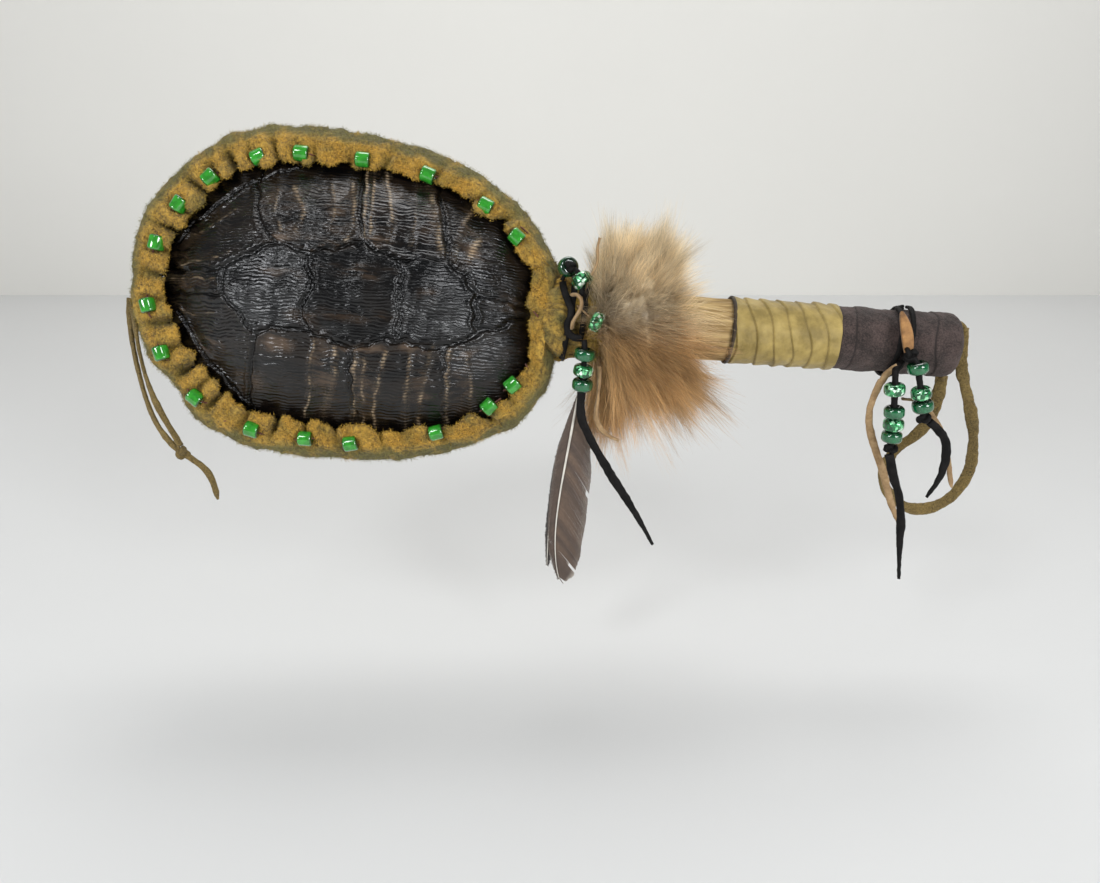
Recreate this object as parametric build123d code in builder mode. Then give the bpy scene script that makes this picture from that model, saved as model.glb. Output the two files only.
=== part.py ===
"""Turtle-shell hand rattle: a hide-bound shell on a wrapped wooden handle, with beads, fur and laces.

Millimetres. +X runs along the handle from the shell to the butt, +Z is up when the rattle is held
level, and the face of the shell looks towards -Y, leaning back. The origin is the middle of the grip.
"""
from build123d import *
from math import cos, pi, radians, sin, tan
import os

os.makedirs("parts", exist_ok=True)

# ---------------------------------------------------------------- driving dimensions
# Shell: egg-shaped outline, widest a little towards the far end
SHELL_X = -236.0          # reference point of the shell on the handle's axis
SHELL_TILT = 15.0         # degrees that the face of the shell leans back
WIDEST_X = -18.0          # widest station, from the reference point
REACH_TIP = 79.0          # widest station to the far end
REACH_NECK = 116.0        # widest station to the neck
HALF_WIDTH = 73.5
WALL_HIDE = 2.6
WALL_SHELL = 3.0

# Handle
STICK_R = 12.6            # wood under the wraps
WOOD_BARE_R = 14.0
GRIP_R = 14.6             # dark wrap at the grip
GRIP_HALF = 12.5
BUTT_X = 43.0
BUTT_R = 14.2
YELLOW_START = -60.0
YELLOW_TURNS = 6

# Neck
COLLAR_START = -137.6
COLLAR_END = -118.0
FUR_START = -117.0
FUR_END = -56.0

# Beads
PONY_R = 4.5
PONY_LENGTH = 5.4
PONY_HOLE_R = 1.9
RIM_BEAD_R = 3.2
RIM_BEAD_LENGTH = 6.2
RIM_BEAD_HOLE_R = 0.9
RIM_BEAD_HEIGHT = 15.9    # bead line above the shell's mid plane
# Each rim bead as (angle round the shell, distance in from the outline): hand sewn, so uneven
RIM_BEADS = ((107, 11), (91, 11), (76, 10), (60, 7.6), (43, 6.6), (30, 7), (-28, 6.4), (-38, 5.6),
             (-54.5, 5.8), (-76, 8.8), (-87, 11.5), (-106, 11.5), (-131, 11.2), (-153, 11.4),
             (-173, 11.8), (161, 12), (143, 11.6), (127, 11.4))

# Leather laces, as diameters
LACE_D = 4.0
FINE_LACE_D = 2.4
FLAT_LACE_D = 3.4
THONG_D = 3.0
STRAP_D = 5.2

STRING_Y = -22.3          # plane in which the two handle strings hang
DROP_Y = -25.0            # plane in which the neck string hangs

shell_plane = Plane(
    origin=(SHELL_X, 0, 0),
    x_dir=(1, 0, 0),
    z_dir=(0, -cos(radians(SHELL_TILT)), sin(radians(SHELL_TILT))),
)


# ---------------------------------------------------------------- helpers
def save(piece, name):
    """Label a finished piece and write its STEP file."""
    piece.part.label = name
    export_step(piece.part, f"parts/{name}.step")


def egg_stack(levels):
    """Solid through egg outlines, each given as (height above the mid plane, inset)."""
    with BuildPart() as stack:
        for height, inset in levels:
            half_width = HALF_WIDTH - inset
            with BuildSketch(shell_plane.offset(height)):
                with BuildLine():
                    EllipticalCenterArc((WIDEST_X, 0), REACH_TIP - inset, half_width, 90, arc_size=180)
                    EllipticalCenterArc((WIDEST_X, 0), REACH_NECK - inset, half_width, -90, arc_size=180)
                make_face()
        loft(ruled=True)
    return stack.part


def turned(points):
    """Solid turned about the handle's axis from a closed (x, radius) profile."""
    with BuildPart() as turning:
        with BuildSketch(Plane.XZ):
            with BuildLine():
                Polyline(*points, close=True)
            make_face()
        revolve(axis=Axis.X)
    return turning.part


def bead_solid(plane, radius, length, hole_r, rounding):
    """Barrel bead centred on plane, with its hole along the plane's normal."""
    with BuildPart() as bead:
        with BuildSketch(plane):
            Circle(radius)
        extrude(amount=length / 2, both=True)
        fillet(edges().filter_by(GeomType.CIRCLE), rounding)
        with BuildSketch(plane):
            Circle(hole_r)
        extrude(amount=length, both=True, mode=Mode.SUBTRACT)
    return bead.part


def pony_bead(name, centre, axis):
    """Pony bead at centre, threaded along axis, saved under name."""
    with BuildPart() as bead:
        add(bead_solid(Plane(origin=centre, z_dir=axis), PONY_R, PONY_LENGTH, PONY_HOLE_R, 1.6))
    save(bead, name)


def corner_radii(route):
    """Largest arc that the two runs at each inner point of a route allow."""
    points = [Vector(*p) for p in route]
    radii = []
    for before, corner, after in zip(points, points[1:], points[2:]):
        run_in = corner - before
        run_out = after - corner
        turn = radians(run_in.get_angle(run_out))
        radii.append(0.45 * min(run_in.length, run_out.length) / tan(turn / 2))
    return radii


def lace(name, route, diameter):
    """Round tube along a hand-laid route: straight runs joined by tangent arcs."""
    radii = corner_radii(route)
    with BuildPart() as cord:
        with BuildLine() as path:
            FilletPolyline(*route, radius=radii)
        middle_line = path.wires()[0]
        with BuildSketch(Plane(origin=middle_line @ 0, z_dir=middle_line % 0)):
            Circle(diameter / 2)
        sweep(path=middle_line)
    length = middle_line.length
    section = pi * diameter ** 2 / 4
    print(f"{name}: length {length:.1f}, smallest radius {min(radii):.1f}, "
          f"volume ratio {cord.part.volume / (section * length):.4f}")
    save(cord, name)


def rod_between(start, end, radius):
    """Straight round rod from start to end."""
    direction = Vector(*end) - Vector(*start)
    with BuildPart() as rod:
        with BuildSketch(Plane(origin=start, z_dir=direction)):
            Circle(radius)
        extrude(amount=direction.length)
    return rod.part


# ---------------------------------------------------------------- shell
with BuildPart() as carapace:
    add(egg_stack([(-3, 5.5), (2, 6), (6, 9), (9.5, 14), (14, 20), (20, 27), (27, 36), (33, 46),
                   (37, 55), (40, 64), (41, 69)]))
    add(egg_stack([(-4, 5.5 + WALL_SHELL), (2, 6 + WALL_SHELL), (6, 12.5), (11, 20), (17, 28), (24, 37),
                   (30, 47), (34, 56), (37, 65), (38, 70)]), mode=Mode.SUBTRACT)
    with Locations(Location((COLLAR_START, 0, 0), (0, 90, 0))):
        Cylinder(10.4, 60, mode=Mode.SUBTRACT)
save(carapace, "carapace")

with BuildPart() as plastron:
    add(egg_stack([(-18, 18), (-14.5, 15)]))
save(plastron, "plastron")

with BuildPart() as hide_cover:
    add(egg_stack([(-24, 26), (-21, 13), (-14, 4), (-3, 0.2), (3, 0), (8, 3), (11, 7), (12.5, 11),
                   (13, 14)]))
    add(egg_stack([(-21.4, 27), (-18.6, 14.5), (-12, 6.4), (-3, 2.7), (3, 2.8), (6.5, 5), (8.8, 8.5),
                   (10.2, 11.5), (10.8, 14), (14, 14)]), mode=Mode.SUBTRACT)
    with Locations(Location((COLLAR_START, 0, 0), (0, 90, 0))):
        Cylinder(10.4, 30, mode=Mode.SUBTRACT)
save(hide_cover, "hide_cover")


def rim_plane(angle, inset):
    """Plane at one rim bead, with its normal along the rim."""
    reach = REACH_TIP if cos(radians(angle)) < 0 else REACH_NECK
    a = reach - inset
    b = HALF_WIDTH - inset
    x = WIDEST_X + a * cos(radians(angle))
    y = b * sin(radians(angle))
    centre = shell_plane.from_local_coords(Vector(x, y, RIM_BEAD_HEIGHT))
    ahead = Vector(-a * sin(radians(angle)), b * cos(radians(angle)), 0)
    tip = shell_plane.from_local_coords(Vector(x, y, RIM_BEAD_HEIGHT) + ahead)
    return Plane(origin=centre, z_dir=tip - centre)


for number, (angle, inset) in enumerate(RIM_BEADS, start=1):
    with BuildPart() as rim_bead:
        add(bead_solid(rim_plane(angle, inset), RIM_BEAD_R, RIM_BEAD_LENGTH, RIM_BEAD_HOLE_R, 1.1))
    save(rim_bead, f"rim_bead_{number:02d}")

# Sinew: one stitch through the hole of every rim bead
with BuildPart() as rim_stitching:
    for angle, inset in RIM_BEADS:
        with BuildSketch(rim_plane(angle, inset)):
            Circle(0.5)
        extrude(amount=RIM_BEAD_LENGTH / 2 + 2.0, both=True)
save(rim_stitching, "rim_stitching")

# Three rows of pebbles, one above the other along the bottom of the hollow shell
PEBBLE_R = 3.4
PEBBLE_PITCH = 9.0
PEBBLE_ROWS = ((-46.0, 0.0), (-37.5, 3.0), (-29.0, -2.0))
for number, (row_y, row_height) in enumerate(PEBBLE_ROWS, start=1):
    with BuildPart() as pebbles:
        for place in range(4):
            x = WIDEST_X + (place - 1.5) * PEBBLE_PITCH
            centre = shell_plane.from_local_coords(Vector(x, row_y, row_height))
            with Locations(centre):
                Sphere(PEBBLE_R)
    save(pebbles, f"pebbles_{number}")

# ---------------------------------------------------------------- handle
with BuildPart() as handle_stick:
    add(turned([(-296, 0), (-296, 7), (-292, 9), (-150, 9), (-141, 10), (-120, 10), (-108, 12),
                (-88, 13.4), (-76, WOOD_BARE_R), (YELLOW_START - 0.3, WOOD_BARE_R),
                (YELLOW_START - 0.3, STICK_R), (BUTT_X - 3, STICK_R), (BUTT_X - 3, 0)]))
save(handle_stick, "handle_stick")

turn_width = (-GRIP_HALF - 0.3 - YELLOW_START) / YELLOW_TURNS
yellow_profile = [(YELLOW_START, STICK_R + 0.1)]
for turn in range(YELLOW_TURNS):
    left = YELLOW_START + turn * turn_width
    yellow_profile.append((left, 15.2))
    yellow_profile.append((left + turn_width, 14.5))
yellow_profile.append((YELLOW_START + YELLOW_TURNS * turn_width, STICK_R + 0.1))
with BuildPart() as yellow_wrap:
    add(turned(yellow_profile))
save(yellow_wrap, "yellow_wrap")

with BuildPart() as brown_wrap:
    add(turned([(-GRIP_HALF, STICK_R + 0.1), (-GRIP_HALF, GRIP_R), (GRIP_HALF, GRIP_R),
                (GRIP_HALF, BUTT_R), (BUTT_X - 4.5, BUTT_R), (BUTT_X - 1.5, 12.8), (BUTT_X, 10),
                (BUTT_X, 0), (BUTT_X - 2.8, 0), (BUTT_X - 2.8, STICK_R + 0.1)]))
save(brown_wrap, "brown_wrap")

# Black lace tied twice round the butt end, with its knot at the front
BINDING_LACE_R = 1.8
KNOT_AT = (16.4, -20.4, -0.6)
with BuildPart() as handle_binding:
    for x in (15.0, 18.8):
        with Locations(Location((x, 0, 0), (0, 90, 0))):
            Torus(BUTT_R + BINDING_LACE_R + 0.1, BINDING_LACE_R)
    with Locations(KNOT_AT):
        Sphere(2.6)
save(handle_binding, "handle_binding")

# Leaf-shaped end of a tan strip, laid over the binding
LEAF_INNER_R = BUTT_R + 2 * BINDING_LACE_R + 0.3
with BuildPart() as leaf_strip:
    with BuildSketch(Plane.XY):
        with Locations((15.5, -LEAF_INNER_R - 0.6)):
            Rectangle(6.5, 1.2)
    revolve(axis=Axis.X, revolution_arc=-40)
leaf_strip.part = leaf_strip.part.rotate(Axis.X, -14)
save(leaf_strip, "leaf_strip")

# ---------------------------------------------------------------- neck
with BuildPart() as neck_collar:
    add(turned([(COLLAR_START, 10.3), (COLLAR_START, 19), (-136, 20.5), (-134, 20.5), (-133.6, 17),
                (-126, 17), (-125.4, 18.6), (-121, 19.4), (COLLAR_END, 18.2), (COLLAR_END, 12.6),
                (-120.2, 10.3)]))
save(neck_collar, "neck_collar")

with BuildPart() as neck_binding:
    for x in (-131.7, -127.9):
        with Locations(Location((x, 0, 0), (0, 90, 0))):
            Torus(17 + BINDING_LACE_R + 0.1, BINDING_LACE_R)
save(neck_binding, "neck_binding")

pony_bead("neck_bead_1", (-136.0, -8.0, 25.0), (0.3, -0.9, 0.3))
pony_bead("neck_bead_2", (-129.5, -16.5, 21.0), (0.6, -0.5, -0.6))
pony_bead("neck_bead_3", (-122.0, -24.6, 5.2), (0.9, -0.2, -0.3))

with BuildPart() as fur_tuft:
    add(turned([(FUR_START, 14.2), (FUR_START, 25), (-112, 38), (-104, 46), (-95, 48.5), (-82, 44),
                (-68, 32), (FUR_END, 19), (FUR_END, 15.6), (-61, 15.6), (-61, 14.2)]))
save(fur_tuft, "fur_tuft")

# ---------------------------------------------------------------- neck string
DROP_X = -126.2
DROP_LEVELS = (-9.5, -17.0, -23.4)
for number, level in enumerate(DROP_LEVELS, start=1):
    pony_bead(f"drop_bead_{number}", (DROP_X, DROP_Y, level), (0, 0, 1))

lace("neck_tail",
     [(DROP_X, DROP_Y, -26.3), (-126.8, -25.3, -37), (-121.5, -25.8, -47), (-115.3, -26, -57),
      (-108, -25.6, -68), (-100.2, -25, -79), (-93.2, -24.6, -89.5), (-86.8, -24.2, -100.2)],
     LACE_D)

lace("neck_tan_lace",
     [(-119.2, -23.2, -15), (-118.4, -23.6, -28), (-119.4, -24, -38.5), (-115, -24.2, -46.5),
      (-107.5, -24.2, -49)],
     FINE_LACE_D)

FEATHER_Y = -21.4
FEATHER_THICKNESS = 1.2
FEATHER_TIP = (-127.5, -126.0)
with BuildPart() as feather:
    with BuildSketch(Plane.XZ.offset(-FEATHER_Y - FEATHER_THICKNESS / 2)):
        with BuildLine():
            Spline((-126.8, -27.5), (-130, -41), (-135, -55), (-136.5, -85), (-135, -115), FEATHER_TIP)
            Spline(FEATHER_TIP, (-121.5, -112), (-117.5, -88), (-115.8, -64), (-120, -42), (-125.6, -27.5))
            Line((-125.6, -27.5), (-126.8, -27.5))
        make_face()
    extrude(amount=FEATHER_THICKNESS)
save(feather, "feather")

# ---------------------------------------------------------------- strings at the butt end
STRING_AXIS = (0.3, 0, -0.95)
pony_bead("right_bead_1", (20.2, STRING_Y, -5.8), STRING_AXIS)
pony_bead("right_bead_2", (24.0, STRING_Y, -17.2), STRING_AXIS)
pony_bead("right_bead_3", (25.9, STRING_Y, -23.2), STRING_AXIS)
with BuildPart() as right_lace:
    add(rod_between((21.1, STRING_Y, -8.7), (23.1, STRING_Y, -14.4), 1.5))
    with Locations((27.8, STRING_Y, -29.0)):
        Sphere(2.8)
save(right_lace, "right_lace")

lace("right_tail",
     [(30.5, STRING_Y, -30.2), (37.2, -22.6, -34.6), (41.1, -23, -42.4), (41.7, -23, -51.9),
      (40.0, -22.7, -60.4), (37.2, -22.2, -67)],
     LACE_D)

lace("right_tan_tail",
     [(31.6, -17.8, -26.9), (37.6, -17.4, -33.4), (42.4, -17.2, -41.9), (46.1, -17.5, -51.9),
      (49.6, -18, -62.9)],
     FINE_LACE_D)

pony_bead("left_bead_1", (12.0, STRING_Y, -16.4), (0.15, 0, -1))
pony_bead("left_bead_2", (14.0, STRING_Y, -26.8), (0.15, 0, -1))
pony_bead("left_bead_3", (14.8, STRING_Y, -32.6), (0.1, 0, -1))
pony_bead("left_bead_4", (15.2, STRING_Y, -38.4), (0.05, 0, -1))
with BuildPart() as left_lace:
    add(rod_between((11.1, STRING_Y, -10.2), (11.6, STRING_Y, -13.5), 1.5))
    add(rod_between((12.5, STRING_Y, -19.3), (13.5, STRING_Y, -23.9), 1.5))
    with Locations((15.6, STRING_Y, -44.2)):
        Sphere(2.8)
save(left_lace, "left_lace")

lace("left_tail",
     [(15.8, STRING_Y, -47.1), (19.1, -22.4, -56.4), (24.0, -22.7, -65.9), (27.7, -22.9, -77.9),
      (29.8, -22.7, -93.4), (33.4, -22.3, -110.4)],
     LACE_D)

lace("left_tan_tail",
     [(7.4, -17.4, -14), (4.6, -17.2, -23.4), (5.4, -16.6, -33.9), (10.2, -15.6, -44.9), (16.4, -15, -55.9),
      (21.4, -14.6, -66.9), (26, -14.4, -77.4), (31.8, -14.2, -86.4)],
     FLAT_LACE_D)

lace("wrist_strap",
     [(46.2, 0, 8.5), (47.4, 0, -6), (53.8, 0.2, -20), (60, 0.5, -33.5), (64.6, 0.9, -48), (66, 1, -64),
      (58.5, 0.9, -79.5), (43, 0.7, -85), (29, 0.4, -77.5), (22.8, 0, -65), (26.5, -0.3, -52.5),
      (37.5, -0.4, -43), (42.5, -0.2, -29.5), (41.2, 0, -14.6)],
     STRAP_D)

# ---------------------------------------------------------------- thong at the far end of the shell
lace("thong_outer",
     [(-333.2, -7.5, -3), (-334.8, -7, -14), (-334.2, -7.2, -27), (-332.5, -7.6, -40),
      (-330.2, -8, -52), (-326.2, -8.6, -63.5), (-319.4, -9.3, -73.2), (-310.5, -10, -78.6),
      (-303.3, -10.2, -83.8), (-299.8, -10.2, -92), (-299, -10, -99.5)],
     THONG_D)

lace("thong_inner",
     [(-329.8, -12.5, -5), (-329.9, -12.2, -16), (-329.2, -11.8, -28.5), (-327.2, -11.5, -41.5),
      (-323.2, -11.2, -54.5), (-317.6, -10.9, -66), (-314.6, -10.8, -72.3)],
     THONG_D)

with BuildPart() as thong_knot:
    with Locations((-314.4, -9.8, -76.3)):
        Sphere(4.0)
save(thong_knot, "thong_knot")
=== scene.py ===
"""Looks of the turtle-shell rattle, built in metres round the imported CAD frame.

Sizes below are in millimetres in the row frame, or in the shell's own frame (x along the handle,
v across the shell, n out of its face), and are turned into metres where a mesh is made.
"""
import math
import bpy
import numpy as np
from mathutils import Matrix, Vector


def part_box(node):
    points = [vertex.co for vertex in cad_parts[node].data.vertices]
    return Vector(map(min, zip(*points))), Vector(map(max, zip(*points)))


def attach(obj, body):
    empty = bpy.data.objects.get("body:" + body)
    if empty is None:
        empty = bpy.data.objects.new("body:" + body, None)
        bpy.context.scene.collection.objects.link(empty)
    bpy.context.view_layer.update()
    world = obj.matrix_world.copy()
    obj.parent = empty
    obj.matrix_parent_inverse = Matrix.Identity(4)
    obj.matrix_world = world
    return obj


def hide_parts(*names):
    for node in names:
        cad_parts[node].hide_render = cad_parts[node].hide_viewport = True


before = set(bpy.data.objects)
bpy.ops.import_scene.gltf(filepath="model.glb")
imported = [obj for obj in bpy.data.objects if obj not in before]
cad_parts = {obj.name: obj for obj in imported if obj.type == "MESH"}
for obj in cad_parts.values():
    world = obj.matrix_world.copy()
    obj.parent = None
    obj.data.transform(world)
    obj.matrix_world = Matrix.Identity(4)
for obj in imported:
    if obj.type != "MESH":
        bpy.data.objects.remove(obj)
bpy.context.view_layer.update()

MM = 0.001
TAU = 2 * math.pi


# ================================================================ camera
CAMERA_PLACE = (-0.1387, -0.4004, 0.0927)
CAMERA_PITCH = math.radians(21.0)
CAMERA_ROLL = math.radians(4.0)
SENSOR_WIDTH_MM = 36.0
LENS_MM = 28.96


def make_camera():
    """Camera in front of the rattle, a little above it, rolled so that the handle runs slightly down."""
    pitch, roll = CAMERA_PITCH, CAMERA_ROLL
    right = Vector((math.cos(roll), math.sin(roll) * math.sin(pitch), math.sin(roll) * math.cos(pitch)))
    up = Vector((-math.sin(roll), math.cos(roll) * math.sin(pitch), math.cos(roll) * math.cos(pitch)))
    back = right.cross(up)
    data = bpy.data.cameras.new("camera")
    data.sensor_width = SENSOR_WIDTH_MM
    data.lens = LENS_MM
    data.clip_start = 0.01
    camera = bpy.data.objects.new("camera", data)
    camera.matrix_world = Matrix.Translation(CAMERA_PLACE) @ Matrix(
        (right, up, back)).transposed().to_4x4()
    bpy.context.scene.collection.objects.link(camera)
    bpy.context.scene.camera = camera
    return right, up, back


cam_right, cam_up, cam_back = make_camera()


# ================================================================ mesh helpers
def new_mesh(name, points, faces, material, smooth=True):
    """Mesh object from point and face arrays, with points in metres."""
    points = np.asarray(points, np.float32).reshape(-1, 3)
    faces = np.asarray(faces, np.int32)
    sides = faces.shape[1]
    mesh = bpy.data.meshes.new(name)
    mesh.vertices.add(len(points))
    mesh.vertices.foreach_set("co", points.ravel())
    mesh.loops.add(faces.size)
    mesh.loops.foreach_set("vertex_index", faces.ravel())
    mesh.polygons.add(len(faces))
    mesh.polygons.foreach_set("loop_start", np.arange(0, faces.size, sides, dtype=np.int32))
    mesh.polygons.foreach_set("use_smooth", np.full(len(faces), smooth))
    mesh.update(calc_edges=True)
    mesh.validate()
    piece = bpy.data.objects.new(name, mesh)
    bpy.context.scene.collection.objects.link(piece)
    mesh.materials.append(material)
    return piece


def set_values(piece, name, values):
    """Store one number at each point of a mesh."""
    layer = piece.data.attributes.new(name, "FLOAT", "POINT")
    layer.data.foreach_set("value", np.asarray(values, np.float32).ravel())


def set_colours(piece, name, colours):
    """Store one colour at each point of a mesh."""
    colours = np.asarray(colours, np.float32).reshape(-1, 3)
    full = np.ones((len(colours), 4), np.float32)
    full[:, :3] = colours
    layer = piece.data.attributes.new(name, "FLOAT_COLOR", "POINT")
    layer.data.foreach_set("color", full.ravel())


def grid_faces(rows, cols, wrap_rows=False, wrap_cols=False):
    """Quads of a rows x cols grid of points, closed on itself where asked."""
    r = np.arange(rows if wrap_rows else rows - 1)[:, None]
    c = np.arange(cols if wrap_cols else cols - 1)[None, :]
    r2 = (r + 1) % rows
    c2 = (c + 1) % cols
    quads = np.stack([r * cols + c, r * cols + c2, r2 * cols + c2, r2 * cols + c], axis=-1)
    return quads.reshape(-1, 4)


def joined(parts):
    """Points and quads of several (points, faces) parts as one pair."""
    points, faces, start = [], [], 0
    for p, f in parts:
        p = np.asarray(p).reshape(-1, 3)
        points.append(p)
        faces.append(np.asarray(f) + start)
        start += len(p)
    return np.concatenate(points), np.concatenate(faces)


def wobble(points, size, seed, waves=12):
    """Smooth random field of about -1 to 1 with features of the given size, at (n, 3) points."""
    rng = np.random.default_rng(seed)
    total = 0.0
    for _ in range(waves):
        direction = rng.normal(size=3)
        direction /= np.linalg.norm(direction)
        rate = TAU / size * rng.uniform(0.55, 1.45)
        total = total + np.sin(points @ direction * rate + rng.uniform(0, TAU))
    return total / math.sqrt(waves * 0.5) * 0.7


def smoothstep(low, high, value):
    t = np.clip((value - low) / (high - low), 0, 1)
    return t * t * (3 - 2 * t)


def curve_line(route_mm, resolution=16):
    """Points, in mm, of the smooth NURBS line whose control points are the route."""
    curve = bpy.data.curves.new("line", "CURVE")
    curve.dimensions = "3D"
    spline = curve.splines.new("NURBS")
    spline.points.add(len(route_mm) - 1)
    for point, place in zip(spline.points, route_mm):
        point.co = (*[value * MM for value in place], 1.0)
    spline.order_u = 3
    spline.use_endpoint_u = True
    spline.resolution_u = resolution
    holder = bpy.data.objects.new("line", curve)
    bpy.context.scene.collection.objects.link(holder)
    bpy.context.view_layer.update()
    mesh = bpy.data.meshes.new_from_object(holder.evaluated_get(bpy.context.evaluated_depsgraph_get()))
    line = np.array([v.co for v in mesh.vertices]) / MM
    bpy.data.meshes.remove(mesh)
    bpy.data.objects.remove(holder)
    bpy.data.curves.remove(curve)
    return line


def frames_along(line, side):
    """Unit tangent, side and normal vectors along a line, turning as little as possible."""
    tangent = np.gradient(line, axis=0)
    tangent /= np.linalg.norm(tangent, axis=1, keepdims=True)
    sides = np.zeros_like(tangent)
    current = np.array(side, float)
    for i, t in enumerate(tangent):
        current = current - t * (current @ t)
        current /= np.linalg.norm(current)
        sides[i] = current
    return tangent, sides, np.cross(tangent, sides)


def tube_part(line, width, thick, side=(0, 1, 0), turn=0.0, ring=12, square=1.0, rough=0.0, seed=1):
    """Closed tube along a line: width and thick may vary along it; square above 1 flattens its sides."""
    count = len(line)
    width = np.broadcast_to(np.asarray(width, float), (count,))
    thick = np.broadcast_to(np.asarray(thick, float), (count,))
    turn = np.broadcast_to(np.asarray(turn, float), (count,))
    _, sides, normals = frames_along(line, side)
    s = sides * np.cos(turn)[:, None] + normals * np.sin(turn)[:, None]
    n = -sides * np.sin(turn)[:, None] + normals * np.cos(turn)[:, None]
    angle = np.linspace(0, TAU, ring, endpoint=False)
    ca = np.sign(np.cos(angle)) * np.abs(np.cos(angle)) ** (1 / square)
    sa = np.sign(np.sin(angle)) * np.abs(np.sin(angle)) ** (1 / square)
    points = (line[:, None, :]
              + s[:, None, :] * (ca[None, :, None] * width[:, None, None] / 2)
              + n[:, None, :] * (sa[None, :, None] * thick[:, None, None] / 2))
    if rough:
        flat = points.reshape(-1, 3)
        out = flat - np.repeat(line, ring, axis=0)
        length = np.linalg.norm(out, axis=1, keepdims=True) + 1e-9
        push = wobble(flat, 2.2, seed) * 0.6 + wobble(flat, 6.0, seed + 1) * 0.6
        points = (flat + out / length * (push * rough)[:, None]).reshape(points.shape)
    first = np.full((1, ring, 3), line[0])
    last = np.full((1, ring, 3), line[-1])
    points = np.concatenate([first, points, last]).reshape(-1, 3)
    faces = grid_faces(count + 2, ring, wrap_cols=True)
    return points, faces


def lathe_part(profile, origin, axis, segments=40):
    """Solid of revolution from a closed (along, radius) profile about an axis through origin."""
    axis = np.array(axis, float) / np.linalg.norm(axis)
    helper = np.array([0.0, 0, 1]) if abs(axis[2]) < 0.9 else np.array([1.0, 0, 0])
    u = np.cross(axis, helper)
    u /= np.linalg.norm(u)
    w = np.cross(axis, u)
    profile = np.asarray(profile, float)
    angle = np.linspace(0, TAU, segments, endpoint=False)
    around = u[None, :] * np.cos(angle)[:, None] + w[None, :] * np.sin(angle)[:, None]
    points = (np.asarray(origin, float) + profile[:, None, :1] * axis
              + profile[:, None, 1:] * around[None, :, :])
    return points.reshape(-1, 3), grid_faces(len(profile), segments, wrap_rows=True, wrap_cols=True)


# ================================================================ material helpers
class Material:
    """A node material, with short calls for the nodes that the rattle's surfaces need."""

    def __init__(self, name):
        self.data = bpy.data.materials.new(name)
        self.data.use_nodes = True
        self.tree = self.data.node_tree
        self.shader = self.tree.nodes["Principled BSDF"]
        self.coords = self.tree.nodes.new("ShaderNodeTexCoord").outputs["Object"]

    def link(self, value, socket):
        if isinstance(value, (int, float)):
            socket.default_value = value
        elif isinstance(value, tuple):
            socket.default_value = (*value, 1.0) if len(value) == 3 else value
        else:
            self.tree.links.new(value, socket)

    def noise(self, size_mm, detail=4.0, rough=0.6, stretch=None, distort=0.0):
        node = self.tree.nodes.new("ShaderNodeTexNoise")
        node.inputs["Scale"].default_value = 1000.0 / size_mm
        node.inputs["Detail"].default_value = detail
        node.inputs["Roughness"].default_value = rough
        node.inputs["Distortion"].default_value = distort
        self.link(self.mapped(stretch), node.inputs["Vector"])
        return node.outputs["Fac"]

    def mapped(self, stretch):
        if stretch is None:
            return self.coords
        node = self.tree.nodes.new("ShaderNodeMapping")
        node.inputs["Scale"].default_value = stretch
        self.link(self.coords, node.inputs["Vector"])
        return node.outputs["Vector"]

    def cells(self, size_mm, feature="F1", output="Distance", stretch=None):
        node = self.tree.nodes.new("ShaderNodeTexVoronoi")
        node.feature = feature
        node.inputs["Scale"].default_value = 1000.0 / size_mm
        self.link(self.mapped(stretch), node.inputs["Vector"])
        return node.outputs[output]

    def value(self, name):
        node = self.tree.nodes.new("ShaderNodeAttribute")
        node.attribute_name = name
        return node.outputs["Fac"]

    def colour(self, name):
        node = self.tree.nodes.new("ShaderNodeAttribute")
        node.attribute_name = name
        return node.outputs["Color"]

    def ramp(self, fac, *stops):
        node = self.tree.nodes.new("ShaderNodeValToRGB")
        elements = node.color_ramp.elements
        while len(elements) < len(stops):
            elements.new(0.5)
        for element, (place, shade) in zip(elements, stops):
            element.position = place
            element.color = (*shade, 1.0) if isinstance(shade, tuple) else (shade, shade, shade, 1.0)
        self.link(fac, node.inputs["Fac"])
        return node.outputs["Color"]

    def mix(self, fac, a, b, blend="MIX"):
        node = self.tree.nodes.new("ShaderNodeMix")
        node.data_type = "RGBA"
        node.blend_type = blend
        self.link(fac, node.inputs[0])
        self.link(a, node.inputs[6])
        self.link(b, node.inputs[7])
        return node.outputs[2]

    def math(self, operation, a, b=0.0, clamp=False):
        node = self.tree.nodes.new("ShaderNodeMath")
        node.operation = operation
        node.use_clamp = clamp
        self.link(a, node.inputs[0])
        self.link(b, node.inputs[1])
        return node.outputs[0]

    def bump(self, height, distance_mm, strength=1.0, after=None):
        node = self.tree.nodes.new("ShaderNodeBump")
        node.inputs["Strength"].default_value = strength
        node.inputs["Distance"].default_value = distance_mm * MM
        self.link(height, node.inputs["Height"])
        if after is not None:
            self.link(after, node.inputs["Normal"])
        return node.outputs["Normal"]

    def finish(self, colour, roughness, normal=None, **sockets):
        self.link(colour, self.shader.inputs["Base Color"])
        self.link(roughness, self.shader.inputs["Roughness"])
        if normal is not None:
            self.link(normal, self.shader.inputs["Normal"])
        for name, value in sockets.items():
            self.link(value, self.shader.inputs[name.replace("_", " ")])
        return self.data


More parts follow.
